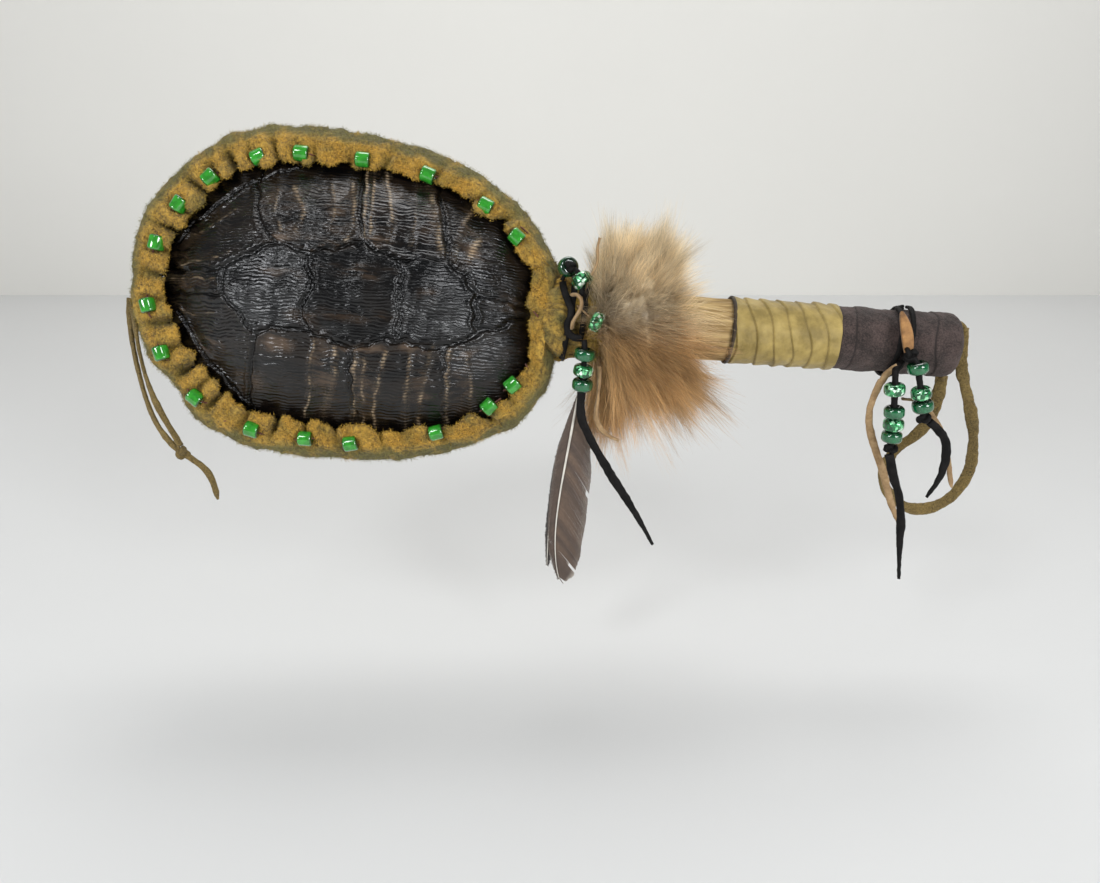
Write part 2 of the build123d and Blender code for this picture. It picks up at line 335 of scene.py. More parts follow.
def suede(name, dark, light, speck=(0.02, 0.014, 0.006), grain_mm=1.6, tone="", sheen=0.14, deep=None):
    """Fuzzy split leather: mottled nap, dark specks, matt. tone names a per-point mix to deep, a darker copy of the
    leather that paints it in shade.
    """
    m = Material(name)
    nap = m.noise(grain_mm, 6.0, 0.7)
    patch = m.noise(14.0, 3.0, 0.6)
    mix = m.math("ADD", m.math("MULTIPLY", nap, 0.85), m.math("MULTIPLY", patch, 0.25))
    colour = m.ramp(mix, (0.43, dark), (0.64, light))
    if tone:
        # Painted shade: lower is the same leather drawn darker, towards deep.
        lower = m.ramp(mix, (0.43, tuple(0.4 * c for c in deep)), (0.66, tuple(1.35 * c for c in deep)))
        colour = m.mix(m.value(tone), lower, colour)
    spots = m.ramp(m.noise(2.4, 3.0, 0.75), (0.3, 1.0), (0.4, 0.0))
    colour = m.mix(m.math("MULTIPLY", spots, 0.8), colour, speck)
    coarse = m.bump(m.noise(2.2, 4.0, 0.7), 1.3, 1.0)
    normal = m.bump(m.noise(0.6, 4.0, 0.7), 0.4, 1.0, coarse)
    return m.finish(colour, 0.93, normal, Sheen_Weight=sheen, Sheen_Roughness=0.6,
                    Sheen_Tint=(1.0, 0.86, 0.55))


def lace_leather(name, dark, light, rough=0.75, grain=0.7, sheen=0.12, shine=0.5):
    """Thin leather lace: creased along its length, a little uneven in colour."""
    m = Material(name)
    tone = m.ramp(m.noise(4.5, 5.0, 0.65), (0.35, dark), (0.7, light))
    crease = m.bump(m.noise(1.1, 5.0, 0.7), 0.3, 0.8)
    normal = m.bump(m.noise(0.35, 3.0, 0.6), 0.1, grain, crease)
    return m.finish(tone, rough, normal, Sheen_Weight=sheen, Sheen_Roughness=0.5, Specular_IOR_Level=shine)


def glass(name, base, rough=0.06, weight=0.0):
    """Dense coloured glass, with slight streaks, painted shade at the bead's ends, and a fire-polished surface."""
    m = Material(name)
    streak = m.noise(3.0, 2.0, 0.5, distort=0.6)
    low = tuple(0.62 * c for c in base)
    colour = m.ramp(streak, (0.35, low), (0.62, base))
    # Painted shade: the ends of each bead are drawn dark green, for the dark rims that glass shows at its ends.
    colour = m.mix(m.value("end"), colour, tuple(0.12 * c for c in base))
    normal = m.bump(m.noise(2.5, 2.0, 0.5), 0.12, 0.35)
    return m.finish(colour, rough, normal, Coat_Weight=1.0, Coat_Roughness=0.03, IOR=1.52,
                    Transmission_Weight=weight)


def crackle_glass(name):
    """Silver-lined crackle glass: bright foil flakes behind green glass."""
    m = Material(name)
    cells = m.cells(1.5, output="Color")
    grey = m.tree.nodes.new("ShaderNodeSeparateColor")
    m.link(cells, grey.inputs[0])
    shade = m.ramp(grey.outputs[0], (0.25, (0.004, 0.075, 0.022)), (0.55, (0.03, 0.34, 0.1)),
                   (0.78, (0.24, 0.78, 0.36)), (0.93, (0.85, 1.0, 0.86)))
    veins = m.ramp(m.cells(1.5, "DISTANCE_TO_EDGE"), (0.0, 1.0), (0.06, 0.0))
    colour = m.mix(veins, shade, (0.003, 0.05, 0.018))
    normal = m.bump(grey.outputs[1], 0.12, 0.7)
    return m.finish(colour, 0.16, normal, Metallic=0.45, Coat_Weight=1.0, Coat_Roughness=0.03)


def shell_material():
    """Varnished carapace: near-black horn with fine raised ridges, pale beaded growth lines, brown streaks."""
    m = Material("varnished_carapace")
    warp = m.math("MULTIPLY", m.noise(9.0, 3.0, 0.55), 1.5)
    phase = m.math("ADD", m.value("ridge"), warp)
    fine = m.math("SINE", m.math("MULTIPLY", phase, TAU / 1.45))
    fine = m.math("ADD", m.math("MULTIPLY", fine, 0.5), 0.5)
    broken = m.ramp(m.noise(5.0, 3.0, 0.6, (0.5, 1.0, 1.0)), (0.34, 0.12), (0.56, 1.0))
    base = m.ramp(m.noise(16.0, 5.0, 0.62, distort=0.4), (0.3, (0.0010, 0.0011, 0.0015)),
                  (0.56, (0.0024, 0.0022, 0.0022)), (0.76, (0.0065, 0.0048, 0.0038)))
    streak = m.noise(6.0, 6.0, 0.7, (0.2, 1.0, 1.0), 0.5)
    brown = m.ramp(streak, (0.42, 0.0), (0.62, 1.0))
    colour = m.mix(m.math("MULTIPLY", brown, m.value("brown"), True), base, (0.085, 0.054, 0.033))
    beads = m.ramp(fine, (0.1, 0.18), (0.7, 1.0))
    speckle = m.ramp(m.noise(1.1, 3.0, 0.7), (0.3, 0.25), (0.55, 1.0))
    tan_mask = m.math("MULTIPLY", m.math("MULTIPLY", beads, speckle), m.value("tan"), clamp=True)
    tan_shade = m.ramp(m.noise(4.0, 3.0, 0.6), (0.3, (0.22, 0.14, 0.075)), (0.7, (0.6, 0.46, 0.3)))
    colour = m.mix(tan_mask, colour, tan_shade)
    colour = m.mix(m.math("MULTIPLY", m.value("seam"), 0.85), colour, (0.0008, 0.0007, 0.0007))
    scratches = m.noise(1.0, 4.0, 0.65, (0.2, 1.0, 1.0), 0.8)
    height = m.math("ADD", m.math("MULTIPLY", fine, broken), m.math("MULTIPLY", scratches, 0.8))
    coarse = m.bump(m.noise(5.5, 4.0, 0.6, (0.5, 1.0, 1.0)), 0.3, 0.5)
    normal = m.bump(height, 0.2, 1.0, coarse)
    rough = m.ramp(m.noise(2.2, 4.0, 0.7), (0.3, 0.08), (0.75, 0.21))
    return m.finish(colour, rough, normal, IOR=1.46)


def wood_material():
    """Weathered driftwood: grey-tan fibres along the stick, darker checks."""
    m = Material("driftwood")
    fibre = m.noise(2.2, 6.0, 0.7, (0.07, 1.0, 1.0), 0.5)
    broad = m.noise(11.0, 4.0, 0.6, (0.25, 1.0, 1.0))
    mix = m.math("ADD", m.math("MULTIPLY", fibre, 0.6), m.math("MULTIPLY", broad, 0.45))
    colour = m.ramp(mix, (0.38, (0.06, 0.034, 0.01)), (0.5, (0.3, 0.19, 0.065)),
                    (0.62, (0.56, 0.4, 0.18)))
    checks = m.ramp(m.noise(3.0, 3.0, 0.7, (0.05, 1.0, 1.0)), (0.3, 1.0), (0.36, 0.0))
    colour = m.mix(checks, colour, (0.025, 0.014, 0.006))
    normal = m.bump(fibre, 0.5, 0.8)
    return m.finish(colour, 0.78, normal)


def strand_material(name, rough=0.55, sheen=0.2):
    """Hair: colour comes from each strand's own points."""
    m = Material(name)
    fine = m.ramp(m.noise(0.9, 2.0, 0.5), (0.3, 0.82), (0.7, 1.12))
    colour = m.mix(1.0, m.colour("shade"), fine, "MULTIPLY")
    return m.finish(colour, rough, None, Sheen_Weight=sheen, Sheen_Roughness=0.4)


def yellow_leather_material():
    """Smooth khaki strip leather: faint pores, soft creases, and painted shade along the overlaps."""
    m = Material("khaki_wrap")
    tone = m.ramp(m.noise(9.0, 4.0, 0.6), (0.35, (0.2, 0.14, 0.03)), (0.68, (0.4, 0.29, 0.082)))
    # Painted shade: edge darkens the colour along each turn's overlap step and at the open end rings.
    colour = m.mix(m.math("MULTIPLY", m.value("edge"), 0.8), tone, (0.09, 0.06, 0.018))
    crease = m.bump(m.noise(5.0, 4.0, 0.6, (1.0, 0.4, 0.4)), 0.8, 0.7)
    normal = m.bump(m.noise(0.5, 3.0, 0.6), 0.08, 0.7, crease)
    return m.finish(colour, 0.62, normal, Sheen_Weight=0.1)


def brown_suede_material():
    """Taupe-brown suede, with painted shade along the seams of its overlaps."""
    m = Material("taupe_suede")
    nap = m.noise(0.8, 5.0, 0.75)
    patch = m.noise(10.0, 3.0, 0.6)
    mix = m.math("ADD", m.math("MULTIPLY", nap, 0.6), m.math("MULTIPLY", patch, 0.4))
    tone = m.ramp(mix, (0.42, (0.012, 0.0075, 0.006)), (0.6, (0.07, 0.046, 0.04)))
    # Painted shade: edge darkens the colour along each overlap seam.
    colour = m.mix(m.value("edge"), tone, (0.012, 0.008, 0.007))
    coarse = m.bump(m.noise(4.0, 3.0, 0.6), 0.5, 0.6)
    normal = m.bump(nap, 0.35, 1.0, coarse)
    return m.finish(colour, 0.95, normal, Sheen_Weight=0.1, Sheen_Roughness=0.6,
                    Sheen_Tint=(0.9, 0.75, 0.7))


def feather_material():
    """Feather vane: colour from each barb's points, with a faint silky sheen."""
    m = Material("feather_vane")
    fine = m.ramp(m.noise(1.2, 3.0, 0.6), (0.3, 0.8), (0.7, 1.15))
    colour = m.mix(1.0, m.colour("shade"), fine, "MULTIPLY")
    return m.finish(colour, 0.55, None, Sheen_Weight=0.15)


def plain_horn(name, shade):
    """Horn or bone with faint clouding."""
    m = Material(name)
    colour = m.ramp(m.noise(5.0, 4.0, 0.6), (0.3, tuple(0.7 * c for c in shade)), (0.7, shade))
    return m.finish(colour, 0.4, m.bump(m.noise(1.5, 3.0, 0.6), 0.1, 0.5))


GOLD = (0.56, 0.335, 0.048)
GOLD_DARK = (0.11, 0.06, 0.009)
# Painted shade: the hide's own leather drawn darker olive, for the band that turns over the rim to the back.
OLIVE_IN_SHADE = (0.115, 0.1, 0.025)
mat_shell = shell_material()
mat_hide = suede("mustard_hide", GOLD_DARK, GOLD, tone="gold_tone_and_shade", deep=OLIVE_IN_SHADE)
mat_fuzz = strand_material("hide_fuzz", 0.9, 0.12)
mat_rim_bead = glass("kelly_glass", (0.028, 0.3, 0.02))
mat_green = glass("forest_glass", (0.002, 0.12, 0.036), 0.05)
mat_crackle = crackle_glass("silver_lined_glass")
mat_sinew = lace_leather("sinew", (0.07, 0.016, 0.008), (0.2, 0.055, 0.03), 0.6)
mat_black = lace_leather("black_lace", (0.003, 0.0028, 0.0026), (0.011, 0.0095, 0.009), 0.62,
                         sheen=0.0, shine=0.14)
mat_tan = lace_leather("tan_lace", (0.2, 0.115, 0.045), (0.42, 0.28, 0.14), 0.8)
mat_olive = suede("olive_strap", (0.06, 0.038, 0.009), (0.23, 0.155, 0.043), grain_mm=0.7)
mat_wood = wood_material()
mat_yellow = yellow_leather_material()
mat_brown = brown_suede_material()
mat_fur = strand_material("fur", 0.5, 0.15)
mat_feather = feather_material()
mat_quill = plain_horn("quill", (0.72, 0.68, 0.6))
mat_stone = plain_horn("pebble", (0.4, 0.36, 0.3))
mat_bone = plain_horn("plastron_bone", (0.5, 0.38, 0.2))


# ================================================================ free laces and straps
def free_lace(name, body, node, route_mm, width, thick, material,
              side=(1, 0, 0), twist=0.0, tip=0.0, rough=0.12, seed=1):
    """Flat leather lace along its route, its width along side, tapering over its last tip millimetres."""
    line = curve_line(route_mm)
    step = np.linalg.norm(np.diff(line, axis=0), axis=1)
    along = np.concatenate([[0], np.cumsum(step)])
    total = along[-1]
    fine = np.linspace(0, total, max(24, int(total / 0.8)))
    line = np.stack([np.interp(fine, along, line[:, k]) for k in range(3)], axis=1)
    swell = 1 + 0.09 * wobble(np.stack([fine, fine * 0, fine * 0], 1), 14.0, seed + 5)
    taper = np.ones_like(fine)
    if tip:
        taper = 0.32 + 0.68 * np.clip((total - fine) / tip, 0, 1) ** 0.7
    points, faces = tube_part(line, width * np.minimum(swell, 1.12) * taper,
                              thick * (0.6 + 0.4 * taper), side=side,
                              turn=twist * np.sin(fine / total * math.pi * 1.5), ring=16,
                              square=1.5, rough=rough, seed=seed)
    piece = new_mesh(name, points * MM, faces, material)
    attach(piece, body)
    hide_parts(node)
    return piece, line


free_lace("black_neck_tail", "neck_string", "neck_tail",
          [(-126.2, -25, -26.3), (-126.8, -25.3, -37), (-121.5, -25.8, -47), (-115.3, -26, -57),
           (-108, -25.6, -68), (-100.2, -25, -79), (-93.2, -24.6, -89.5), (-86.8, -24.2, -100.2)],
          4.0, 2.1, mat_black, tip=34, twist=0.4, seed=11)

free_lace("tan_neck_lace", "neck_string", "neck_tan_lace",
          [(-119.2, -23.2, -15), (-118.4, -23.6, -28), (-119.4, -24, -38.5), (-115, -24.2, -46.5),
           (-107.5, -24.2, -49)],
          2.4, 1.5, mat_tan, tip=5, twist=1.6, seed=12)

free_lace("black_right_tail", "right_string", "right_tail",
          [(30.5, -22.3, -30.2), (37.2, -22.6, -34.6), (41.1, -23, -42.4), (41.7, -23, -51.9),
           (40.0, -22.7, -60.4), (37.2, -22.2, -67)],
          4.0, 2.0, mat_black, tip=18, twist=0.5, seed=13)

free_lace("tan_right_tail", "right_string", "right_tan_tail",
          [(31.6, -17.8, -26.9), (37.6, -17.4, -33.4), (42.4, -17.2, -41.9), (46.1, -17.5, -51.9),
           (49.6, -18, -62.9)],
          2.4, 1.4, mat_tan, tip=4, seed=14)

free_lace("black_left_tail", "left_string", "left_tail",
          [(15.8, -22.3, -47.1), (19.1, -22.4, -56.4), (24.0, -22.7, -65.9), (27.7, -22.9, -77.9),
           (29.8, -22.7, -93.4), (33.4, -22.3, -110.4)],
          4.0, 2.0, mat_black, tip=30, twist=0.9, seed=15)

free_lace("tan_left_tail", "left_string", "left_tan_tail",
          [(7.4, -17.4, -14), (4.6, -17.2, -23.4), (5.4, -16.6, -33.9), (10.2, -15.6, -44.9),
           (16.4, -15, -55.9), (21.4, -14.6, -66.9), (26, -14.4, -77.4), (31.8, -14.2, -86.4)],
          3.4, 1.5, mat_tan, tip=16, twist=0.3, seed=16)

free_lace("suede_wrist_strap", "wrist_loop", "wrist_strap",
          [(46.2, 0, 8.5), (47.4, 0, -6), (53.8, 0.2, -20), (60, 0.5, -33.5), (64.6, 0.9, -48),
           (66, 1, -64), (58.5, 0.9, -79.5), (43, 0.7, -85), (29, 0.4, -77.5), (22.8, 0, -65),
           (26.5, -0.3, -52.5), (37.5, -0.4, -43), (42.5, -0.2, -29.5), (41.2, 0, -14.6)],
          5.2, 2.4, mat_olive, twist=0.5, seed=17, rough=0.2)

free_lace("thong_long_strand", "tip_thong", "thong_outer",
          [(-333.2, -7.5, -3), (-334.8, -7, -14), (-334.2, -7.2, -27), (-332.5, -7.6, -40),
           (-330.2, -8, -52), (-326.2, -8.6, -63.5), (-319.4, -9.3, -73.2), (-310.5, -10, -78.6),
           (-303.3, -10.2, -83.8), (-299.8, -10.2, -92), (-299, -10, -99.5)],
          3.0, 1.7, mat_olive, tip=5, twist=0.7, seed=18)

free_lace("thong_short_strand", "tip_thong", "thong_inner",
          [(-329.8, -12.5, -5), (-329.9, -12.2, -16), (-329.2, -11.8, -28.5), (-327.2, -11.5, -41.5),
           (-323.2, -11.2, -54.5), (-317.6, -10.9, -66), (-314.6, -10.8, -72.3)],
          3.0, 1.7, mat_olive, twist=1.1, seed=19)


# ================================================================ shell frame and outline
SHELL_X = -236.0
TILT = math.radians(15.0)
OUT = np.array([0.0, -math.cos(TILT), math.sin(TILT)])
ACROSS = np.array([0.0, math.sin(TILT), math.cos(TILT)])
CENTRE = np.array([-6.0, 1.0])
OUTLINE = [(98, 2), (95, 24), (74, 50), (40, 68), (0, 75.5), (-40, 75), (-70, 61), (-91, 34), (-98, 6),
           (-94, -18), (-77, -46), (-48, -66.5), (-8, -71.5), (40, -67.5), (76, -54), (95, -30)]
RIM_BEADS = ((107, 11), (91, 11), (76, 10), (60, 7.6), (43, 6.6), (30, 7), (-28, 6.4), (-38, 5.6),
             (-54.5, 5.8), (-76, 8.8), (-87, 11.5), (-106, 11.5), (-131, 11.2), (-153, 11.4),
             (-173, 11.8), (161, 12), (143, 11.6), (127, 11.4))
BEAD_HEIGHT = 15.9


def to_row(x, v, n):
    """Points of the shell's frame as an (..., 3) array in the row frame, in mm."""
    x, v, n = np.broadcast_arrays(x, v, n)
    place = v[..., None] * ACROSS + n[..., None] * OUT
    place[..., 0] += x + SHELL_X
    return place


def smooth_closed(points, per_span=40):
    """Closed Catmull-Rom line through the points."""
    p = np.asarray(points, float)
    out = []
    t = np.linspace(0, 1, per_span, endpoint=False)[:, None]
    for i in range(len(p)):
        a, b, c, d = p[i - 1], p[i], p[(i + 1) % len(p)], p[(i + 2) % len(p)]
        out.append(0.5 * (2 * b + (c - a) * t + (2 * a - 5 * b + 4 * c - d) * t ** 2
                          + (3 * b - a - 3 * c + d) * t ** 3))
    return np.concatenate(out)


outline_line = smooth_closed(OUTLINE) - CENTRE
outline_angle = np.arctan2(outline_line[:, 1], outline_line[:, 0])
outline_reach = np.hypot(outline_line[:, 0], outline_line[:, 1])
order = np.argsort(outline_angle)
outline_angle = outline_angle[order]
outline_reach = outline_reach[order]


def reach(angle):
    """Distance from the shell's centre to its outline in a direction."""
    return np.interp(angle, outline_angle, outline_reach, period=TAU)


def bead_place(angle_deg, inset):
    """Centre and rim direction of a rim bead, in the shell's frame; the same ovals as its CAD node."""
    angle = math.radians(angle_deg)
    a = (79.0 if math.cos(angle) < 0 else 116.0) - inset
    b = 73.5 - inset
    place = np.array([-18.0 + a * math.cos(angle), b * math.sin(angle)])
    ahead = np.array([-a * math.sin(angle), b * math.cos(angle)])
    return place, ahead / np.linalg.norm(ahead)


BEADS = [bead_place(angle, inset) for angle, inset in RIM_BEADS]


# ================================================================ carapace
# Seams between the shell's plates, as lines in the shell's frame
SEAMS = [
    [(-84, 9), (-64, 10), (-46, 11), (-34, 17), (-23, 22), (-15, 20), (-8, 19), (2, 21), (14, 24.5), (22, 21),
     (29, 18), (38, 20), (49, 19.5), (56, 13), (62, 7), (75, 4), (92, 2)],
    [(-84, -2), (-64, -1), (-46, -1), (-38, -9), (-31, -15.5), (-19, -13), (-7, -14), (3, -17.5), (11, -19.5),
     (20, -17), (29, -15), (39, -17), (49, -17), (57, -13.5), (63, -10), (76, -4), (92, 1)],
    [(-46, 11), (-47, 5), (-46, -1)],
    [(-8, 19), (-8.5, 13), (-5.5, 8), (-6.5, 3), (-10.5, -3), (-10, -9), (-7, -14)],
    [(29, 18), (30.5, 10), (30, 2), (31, -7), (29, -15)],
    [(62, 7), (61, 1), (63, -10)],
    [(-38, 62), (-36, 46), (-33, 33), (-29, 27), (-23, 22)],
    [(8, 66), (8.5, 50), (11, 36), (14, 24.5)],
    [(40, 62), (42, 48), (46, 32), (49, 19.5)],
    [(-31, -15.5), (-33, -27), (-37, -40), (-40, -54)],
    [(11, -19.5), (10, -36), (9, -62)],
    [(49, -17), (49.5, -34), (51, -58)],
    [(-84, -3), (-73, -8), (-65, -19), (-57, -31), (-46, -41), (-36, -52)],
    [(-74, 22), (-62, 32), (-48, 43), (-34, 51), (-20, 57)],
]
# Pale growth lines that cross the side plates, as (half width, strength, line in the shell's frame).
GROWTH_LINES = [
    (0.8, 0.5, [(-20, 47), (-15, 40), (-13, 34), (-15, 27)]),
    (0.5, 0.4, [(-26, 45), (-25, 34), (-21, 27)]),
    (0.8, 0.6, [(4, 52), (8, 38), (8.5, 29), (6, 25)]),
    (0.5, 0.4, [(-5, 52), (0, 38), (-1, 28)]),
    (0.5, 0.9, [(9, 60), (12.5, 41), (13.5, 29), (14, 26)]),
    (0.5, 0.8, [(12.5, 58), (15.5, 40), (16.5, 28)]),
    (0.6, 0.85, [(17, 58), (22, 44), (24.5, 33), (24.5, 26)]),
    (0.9, 0.65, [(34, 58), (41, 42), (44, 30), (46, 23)]),
    (0.5, 0.5, [(31, 56), (33.5, 38), (34, 24)]),
    (0.8, 0.5, [(57, 48), (53, 33), (51, 20)]),
    (1.4, 0.8, [(60, 29), (57.5, 22)]),
    (0.5, 0.65, [(-5, -18), (-7.5, -29), (-9, -40), (-16, -58)]),
    (0.8, 0.75, [(4, -20), (3.5, -31), (-1, -41), (-7, -58)]),
    (0.6, 0.95, [(13, -20), (11.5, -34), (8, -60)]),
    (0.5, 0.6, [(16, -24), (15, -36), (12, -60)]),
    (0.55, 0.8, [(25.5, -20), (22, -33), (19, -44), (17, -60)]),
    (0.55, 0.65, [(36, -19), (34, -33), (31, -58)]),
    (0.65, 0.8, [(45, -17), (42, -29), (39, -42), (37, -58)]),
    (0.6, 0.85, [(51.5, -18), (50.5, -32), (50, -56)]),
    (0.5, 0.55, [(59, -20), (61, -33), (60, -52)]),
    (0.5, 0.4, [(-80, 8), (-66, 12), (-52, 14), (-44, 17)]),
    (0.5, 0.5, [(-82, 4), (-68, 5.5), (-50, 5)]),
    (0.5, 0.35, [(-78, -6), (-64, -10), (-50, -9)]),
    (0.45, 0.3, [(-70, 24), (-58, 27), (-44, 36)]),
]
# Brown patches of the plates, as (x, v, half length, half width, strength)
BROWN_PATCHES = [(-22, -20, 7, 4, 1.0), (-55, -22, 7, 5, 0.8), (1, 38, 4.5, 9, 0.8), (-2, -33, 5, 14, 0.9),
                 (15, -36, 4, 12, 0.6), (12, 12, 14, 2.2, 0.9), (12, -6, 14, 2.4, 0.8), (-20, 10, 8, 2, 0.6),
                 (-17, 33, 4, 9, 0.6), (59, 25, 3, 7, 0.9), (40, 36, 3, 10, 0.5), (56, -19, 6, 2.5, 0.8),
                 (42, 4, 5, 3, 0.5), (74, 3, 7, 3, 0.6), (-70, 16, 8, 4, 0.5), (20, 44, 4, 10, 0.35),
                 (39, -34, 4, 12, 0.4), (-62, 3, 14, 3, 0.5), (-30, 40, 4, 7, 0.35), (-8, -8, 6, 3, 0.5),
                 (-20, 24, 5, 2, 1.0), (-2, 22, 8, 1.8, 1.0), (20, 25, 6, 1.8, 1.0), (16, -20, 8, 1.8, 1.0),
                 (38, -18, 7, 1.8, 1.0), (-36, -38, 6, 5, 0.5), (55, 34, 3, 10, 0.5), (56, -36, 4, 12, 0.4)]


def seam_distance(x, v, lines):
    """Distance in mm from each point to the nearest of the lines."""
    best = np.full(x.shape, 1e9)
    for line in lines:
        for (ax, av), (bx, bv) in zip(line, line[1:]):
            dx, dv = bx - ax, bv - av
            t = np.clip(((x - ax) * dx + (v - av) * dv) / (dx * dx + dv * dv), 0, 1)
            best = np.minimum(best, np.hypot(x - ax - t * dx, v - av - t * dv))
    return best


def smooth_open(line, per_span=5):
    """Catmull-Rom points through an open line."""
    p = np.asarray(line, float)
    p = np.concatenate([2 * p[:1] - p[1:2], p, 2 * p[-1:] - p[-2:-1]])
    t = np.linspace(0, 1, per_span, endpoint=False)[:, None]
    spans = [0.5 * (2 * b + (c - a) * t + (2 * a - 5 * b + 4 * c - d) * t ** 2 + (3 * b - a - 3 * c + d) * t ** 3)
             for a, b, c, d in zip(p, p[1:], p[2:], p[3:])]
    return [tuple(q) for q in np.concatenate(spans)] + [tuple(p[-2])]


def lip_inset(angle):
    """Mean width of the hide's lip in each direction: wide at the far end, narrow at the neck."""
    return 15.8 - 3.9 * np.cos(angle)


def dome_height(rho, angle, v):
    """Height of the dome; rho is 0 at its middle and 1 at its edge. It meets the lip all the way round."""
    at_lip = (reach(angle) - lip_inset(angle)) / (reach(angle) - 5.5)
    fullness = math.log(0.285) / np.log(1 - at_lip ** 2.4)
    body = np.clip(1 - rho ** 2.4, 0, 1) ** fullness
    keel = 1.1 * np.exp(-((v - 3) / 5.0) ** 2) * body
    under_lip = np.clip((rho - at_lip) / (1 - at_lip), 0, 1) ** 3
    rim = np.where(rho > at_lip, 7.0 * (1 - under_lip) - 2.5 * under_lip, -9.0)
    return np.maximum(-2.5 + 41.5 * body + keel, rim)


def make_carapace():
    count = 285
    side = np.linspace(-1, 1, count)
    a, b = np.meshgrid(side, side)
    px = a * np.sqrt(1 - b * b / 2)
    pv = b * np.sqrt(1 - a * a / 2)
    rho = np.hypot(px, pv)
    angle = np.arctan2(pv, px)
    edge = reach(angle) - 5.5
    x = CENTRE[0] + rho * edge * np.cos(angle)
    v = CENTRE[1] + rho * edge * np.sin(angle)
    flat = np.stack([x.ravel(), v.ravel(), np.zeros(x.size)], 1)
    warp_x = (wobble(flat, 9.0, 21) * 0.7 + wobble(flat, 3.5, 22) * 0.3).reshape(x.shape)
    warp_v = (wobble(flat, 9.0, 23) * 0.7 + wobble(flat, 3.5, 24) * 0.3).reshape(x.shape)
    distance = seam_distance(x + warp_x, v + warp_v, SEAMS)
    upper = np.interp(x, *zip(*SEAMS[0]))
    lower = np.interp(x, *zip(*SEAMS[1]))
    middle = smoothstep(-1.5, 1.5, upper - v) * smoothstep(-1.5, 1.5, v - lower)
    tan_bands = np.zeros_like(x)
    steps = np.zeros_like(x)
    for number, (half, strength, line) in enumerate(GROWTH_LINES):
        away = seam_distance(x + warp_x * 0.45, v + warp_v * 0.45, [smooth_open(line)])
        worn = smoothstep(-0.7, 0.6, wobble(flat * (1.6, 0.8, 1), 8.0, 300 + number).reshape(x.shape))
        band = np.exp(-(away / half) ** 2) + 0.4 * (1 - worn) * np.exp(-((away - 1.5) / 0.45) ** 2)
        tan_bands = np.maximum(tan_bands, strength * (0.12 + 0.88 * worn) * band)
        steps = np.maximum(steps, 0.28 * np.exp(-((away - 0.4) / 0.8) ** 2))
    brown = np.zeros_like(x)
    for px_mid, pv_mid, long_half, wide_half, strength in BROWN_PATCHES:
        brown = np.maximum(brown, strength * np.exp(-(((x - px_mid + warp_x * 2) / long_half) ** 2
                                                      + ((v - pv_mid + warp_v) / wide_half) ** 2) ** 1.3))
    brown = np.clip(brown + 0.1 * (1 - middle), 0, 1)
    ridge = v + 0.05 * (x - CENTRE[0]) * np.sin(angle) + warp_v * 0.5 + 0.06 * distance
    ridge_gain = 0.085 * (1 - 0.5 * middle) * smoothstep(0.6, 2.5, distance)
    n = dome_height(rho, angle, v)
    n += wobble(flat, 22.0, 26).reshape(x.shape) * 0.35 + wobble(flat, 6.0, 27).reshape(x.shape) * 0.07
    n += steps + ridge_gain * np.sin(ridge * TAU / 2.6) * smoothstep(
        -0.4, 0.5, wobble(flat, 12.0, 28).reshape(x.shape))
    n -= 1.0 * np.exp(-(distance / 0.7) ** 2)
    n += 0.6 * np.exp(-((distance - 1.7) / 0.75) ** 2)
    top = to_row(x, v, n).reshape(-1, 3)
    under = to_row(x, v, n - 1.6)[::4, ::4]
    faces_top = grid_faces(count, count)
    small = under.shape[0]
    piece = new_mesh("carapace_shell", top * MM, faces_top, mat_shell)
    set_values(piece, "ridge", ridge)
    set_values(piece, "tan", np.clip(tan_bands, 0, 1))
    set_values(piece, "brown", brown)
    set_values(piece, "seam", np.exp(-(distance / 0.8) ** 2))
    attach(piece, "rattle")
    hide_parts("carapace")
    inner = new_mesh("carapace_bone", under.reshape(-1, 3) * MM, grid_faces(small, small)[:, ::-1], mat_bone)
    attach(inner, "rattle")


make_carapace()
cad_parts["plastron"].data.materials.clear()
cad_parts["plastron"].data.materials.append(mat_bone)


# ================================================================ hide cover
# Gathers of the lip, as (direction from the shell's centre in degrees, depth)
FOLDS = [(160, 1.0), (152.5, 0.45), (143, 1.0), (135.5, 0.5), (128, 0.95), (120, 0.45), (112, 0.8), (104, 0.35),
         (176, 0.8), (168, 0.45), (-168, 0.9), (-176, 0.35), (-159, 0.5), (-150, 1.0), (-142, 0.45), (-135, 0.9),
         (-122, 0.45), (-110, 0.75), (-97, 0.3), (-84, 0.35), (-66, 0.35), (37, 0.9), (27.5, 0.75), (-0.5, 0.95),
         (-14, 0.3), (-25, 0.5), (-33, 0.75), (-47, 0.6), (97, 0.35), (83, 0.25), (69, 0.3), (52, 0.45),
         (12, 0.35)]
# Section of the cover from its back round to the lip: (inset from the outline, height)
SECTION = [(30, -23.6), (22, -23.2), (14, -22.0), (8.5, -19.4), (4.6, -15.8), (2.2, -11.6), (0.8, -7.0),
           (0.1, -2.4), (0.0, 1.6), (0.5, 5.0), (1.6, 8.0), (3.2, 10.6), (5.2, 12.7), (7.4, 14.0)]
LIP_STEPS = 12
BACK_ROWS = 30


def fold_depth(angle, spread_mm=2.5):
    """How strongly the lip is gathered in each direction, 0 to 1."""
    total = np.zeros_like(angle)
    for place, strength in FOLDS:
        away = (angle - math.radians(place) + math.pi) % TAU - math.pi
        total += strength * np.exp(-(away * reach(angle) / spread_mm) ** 2)
    return np.clip(total, 0, 1)


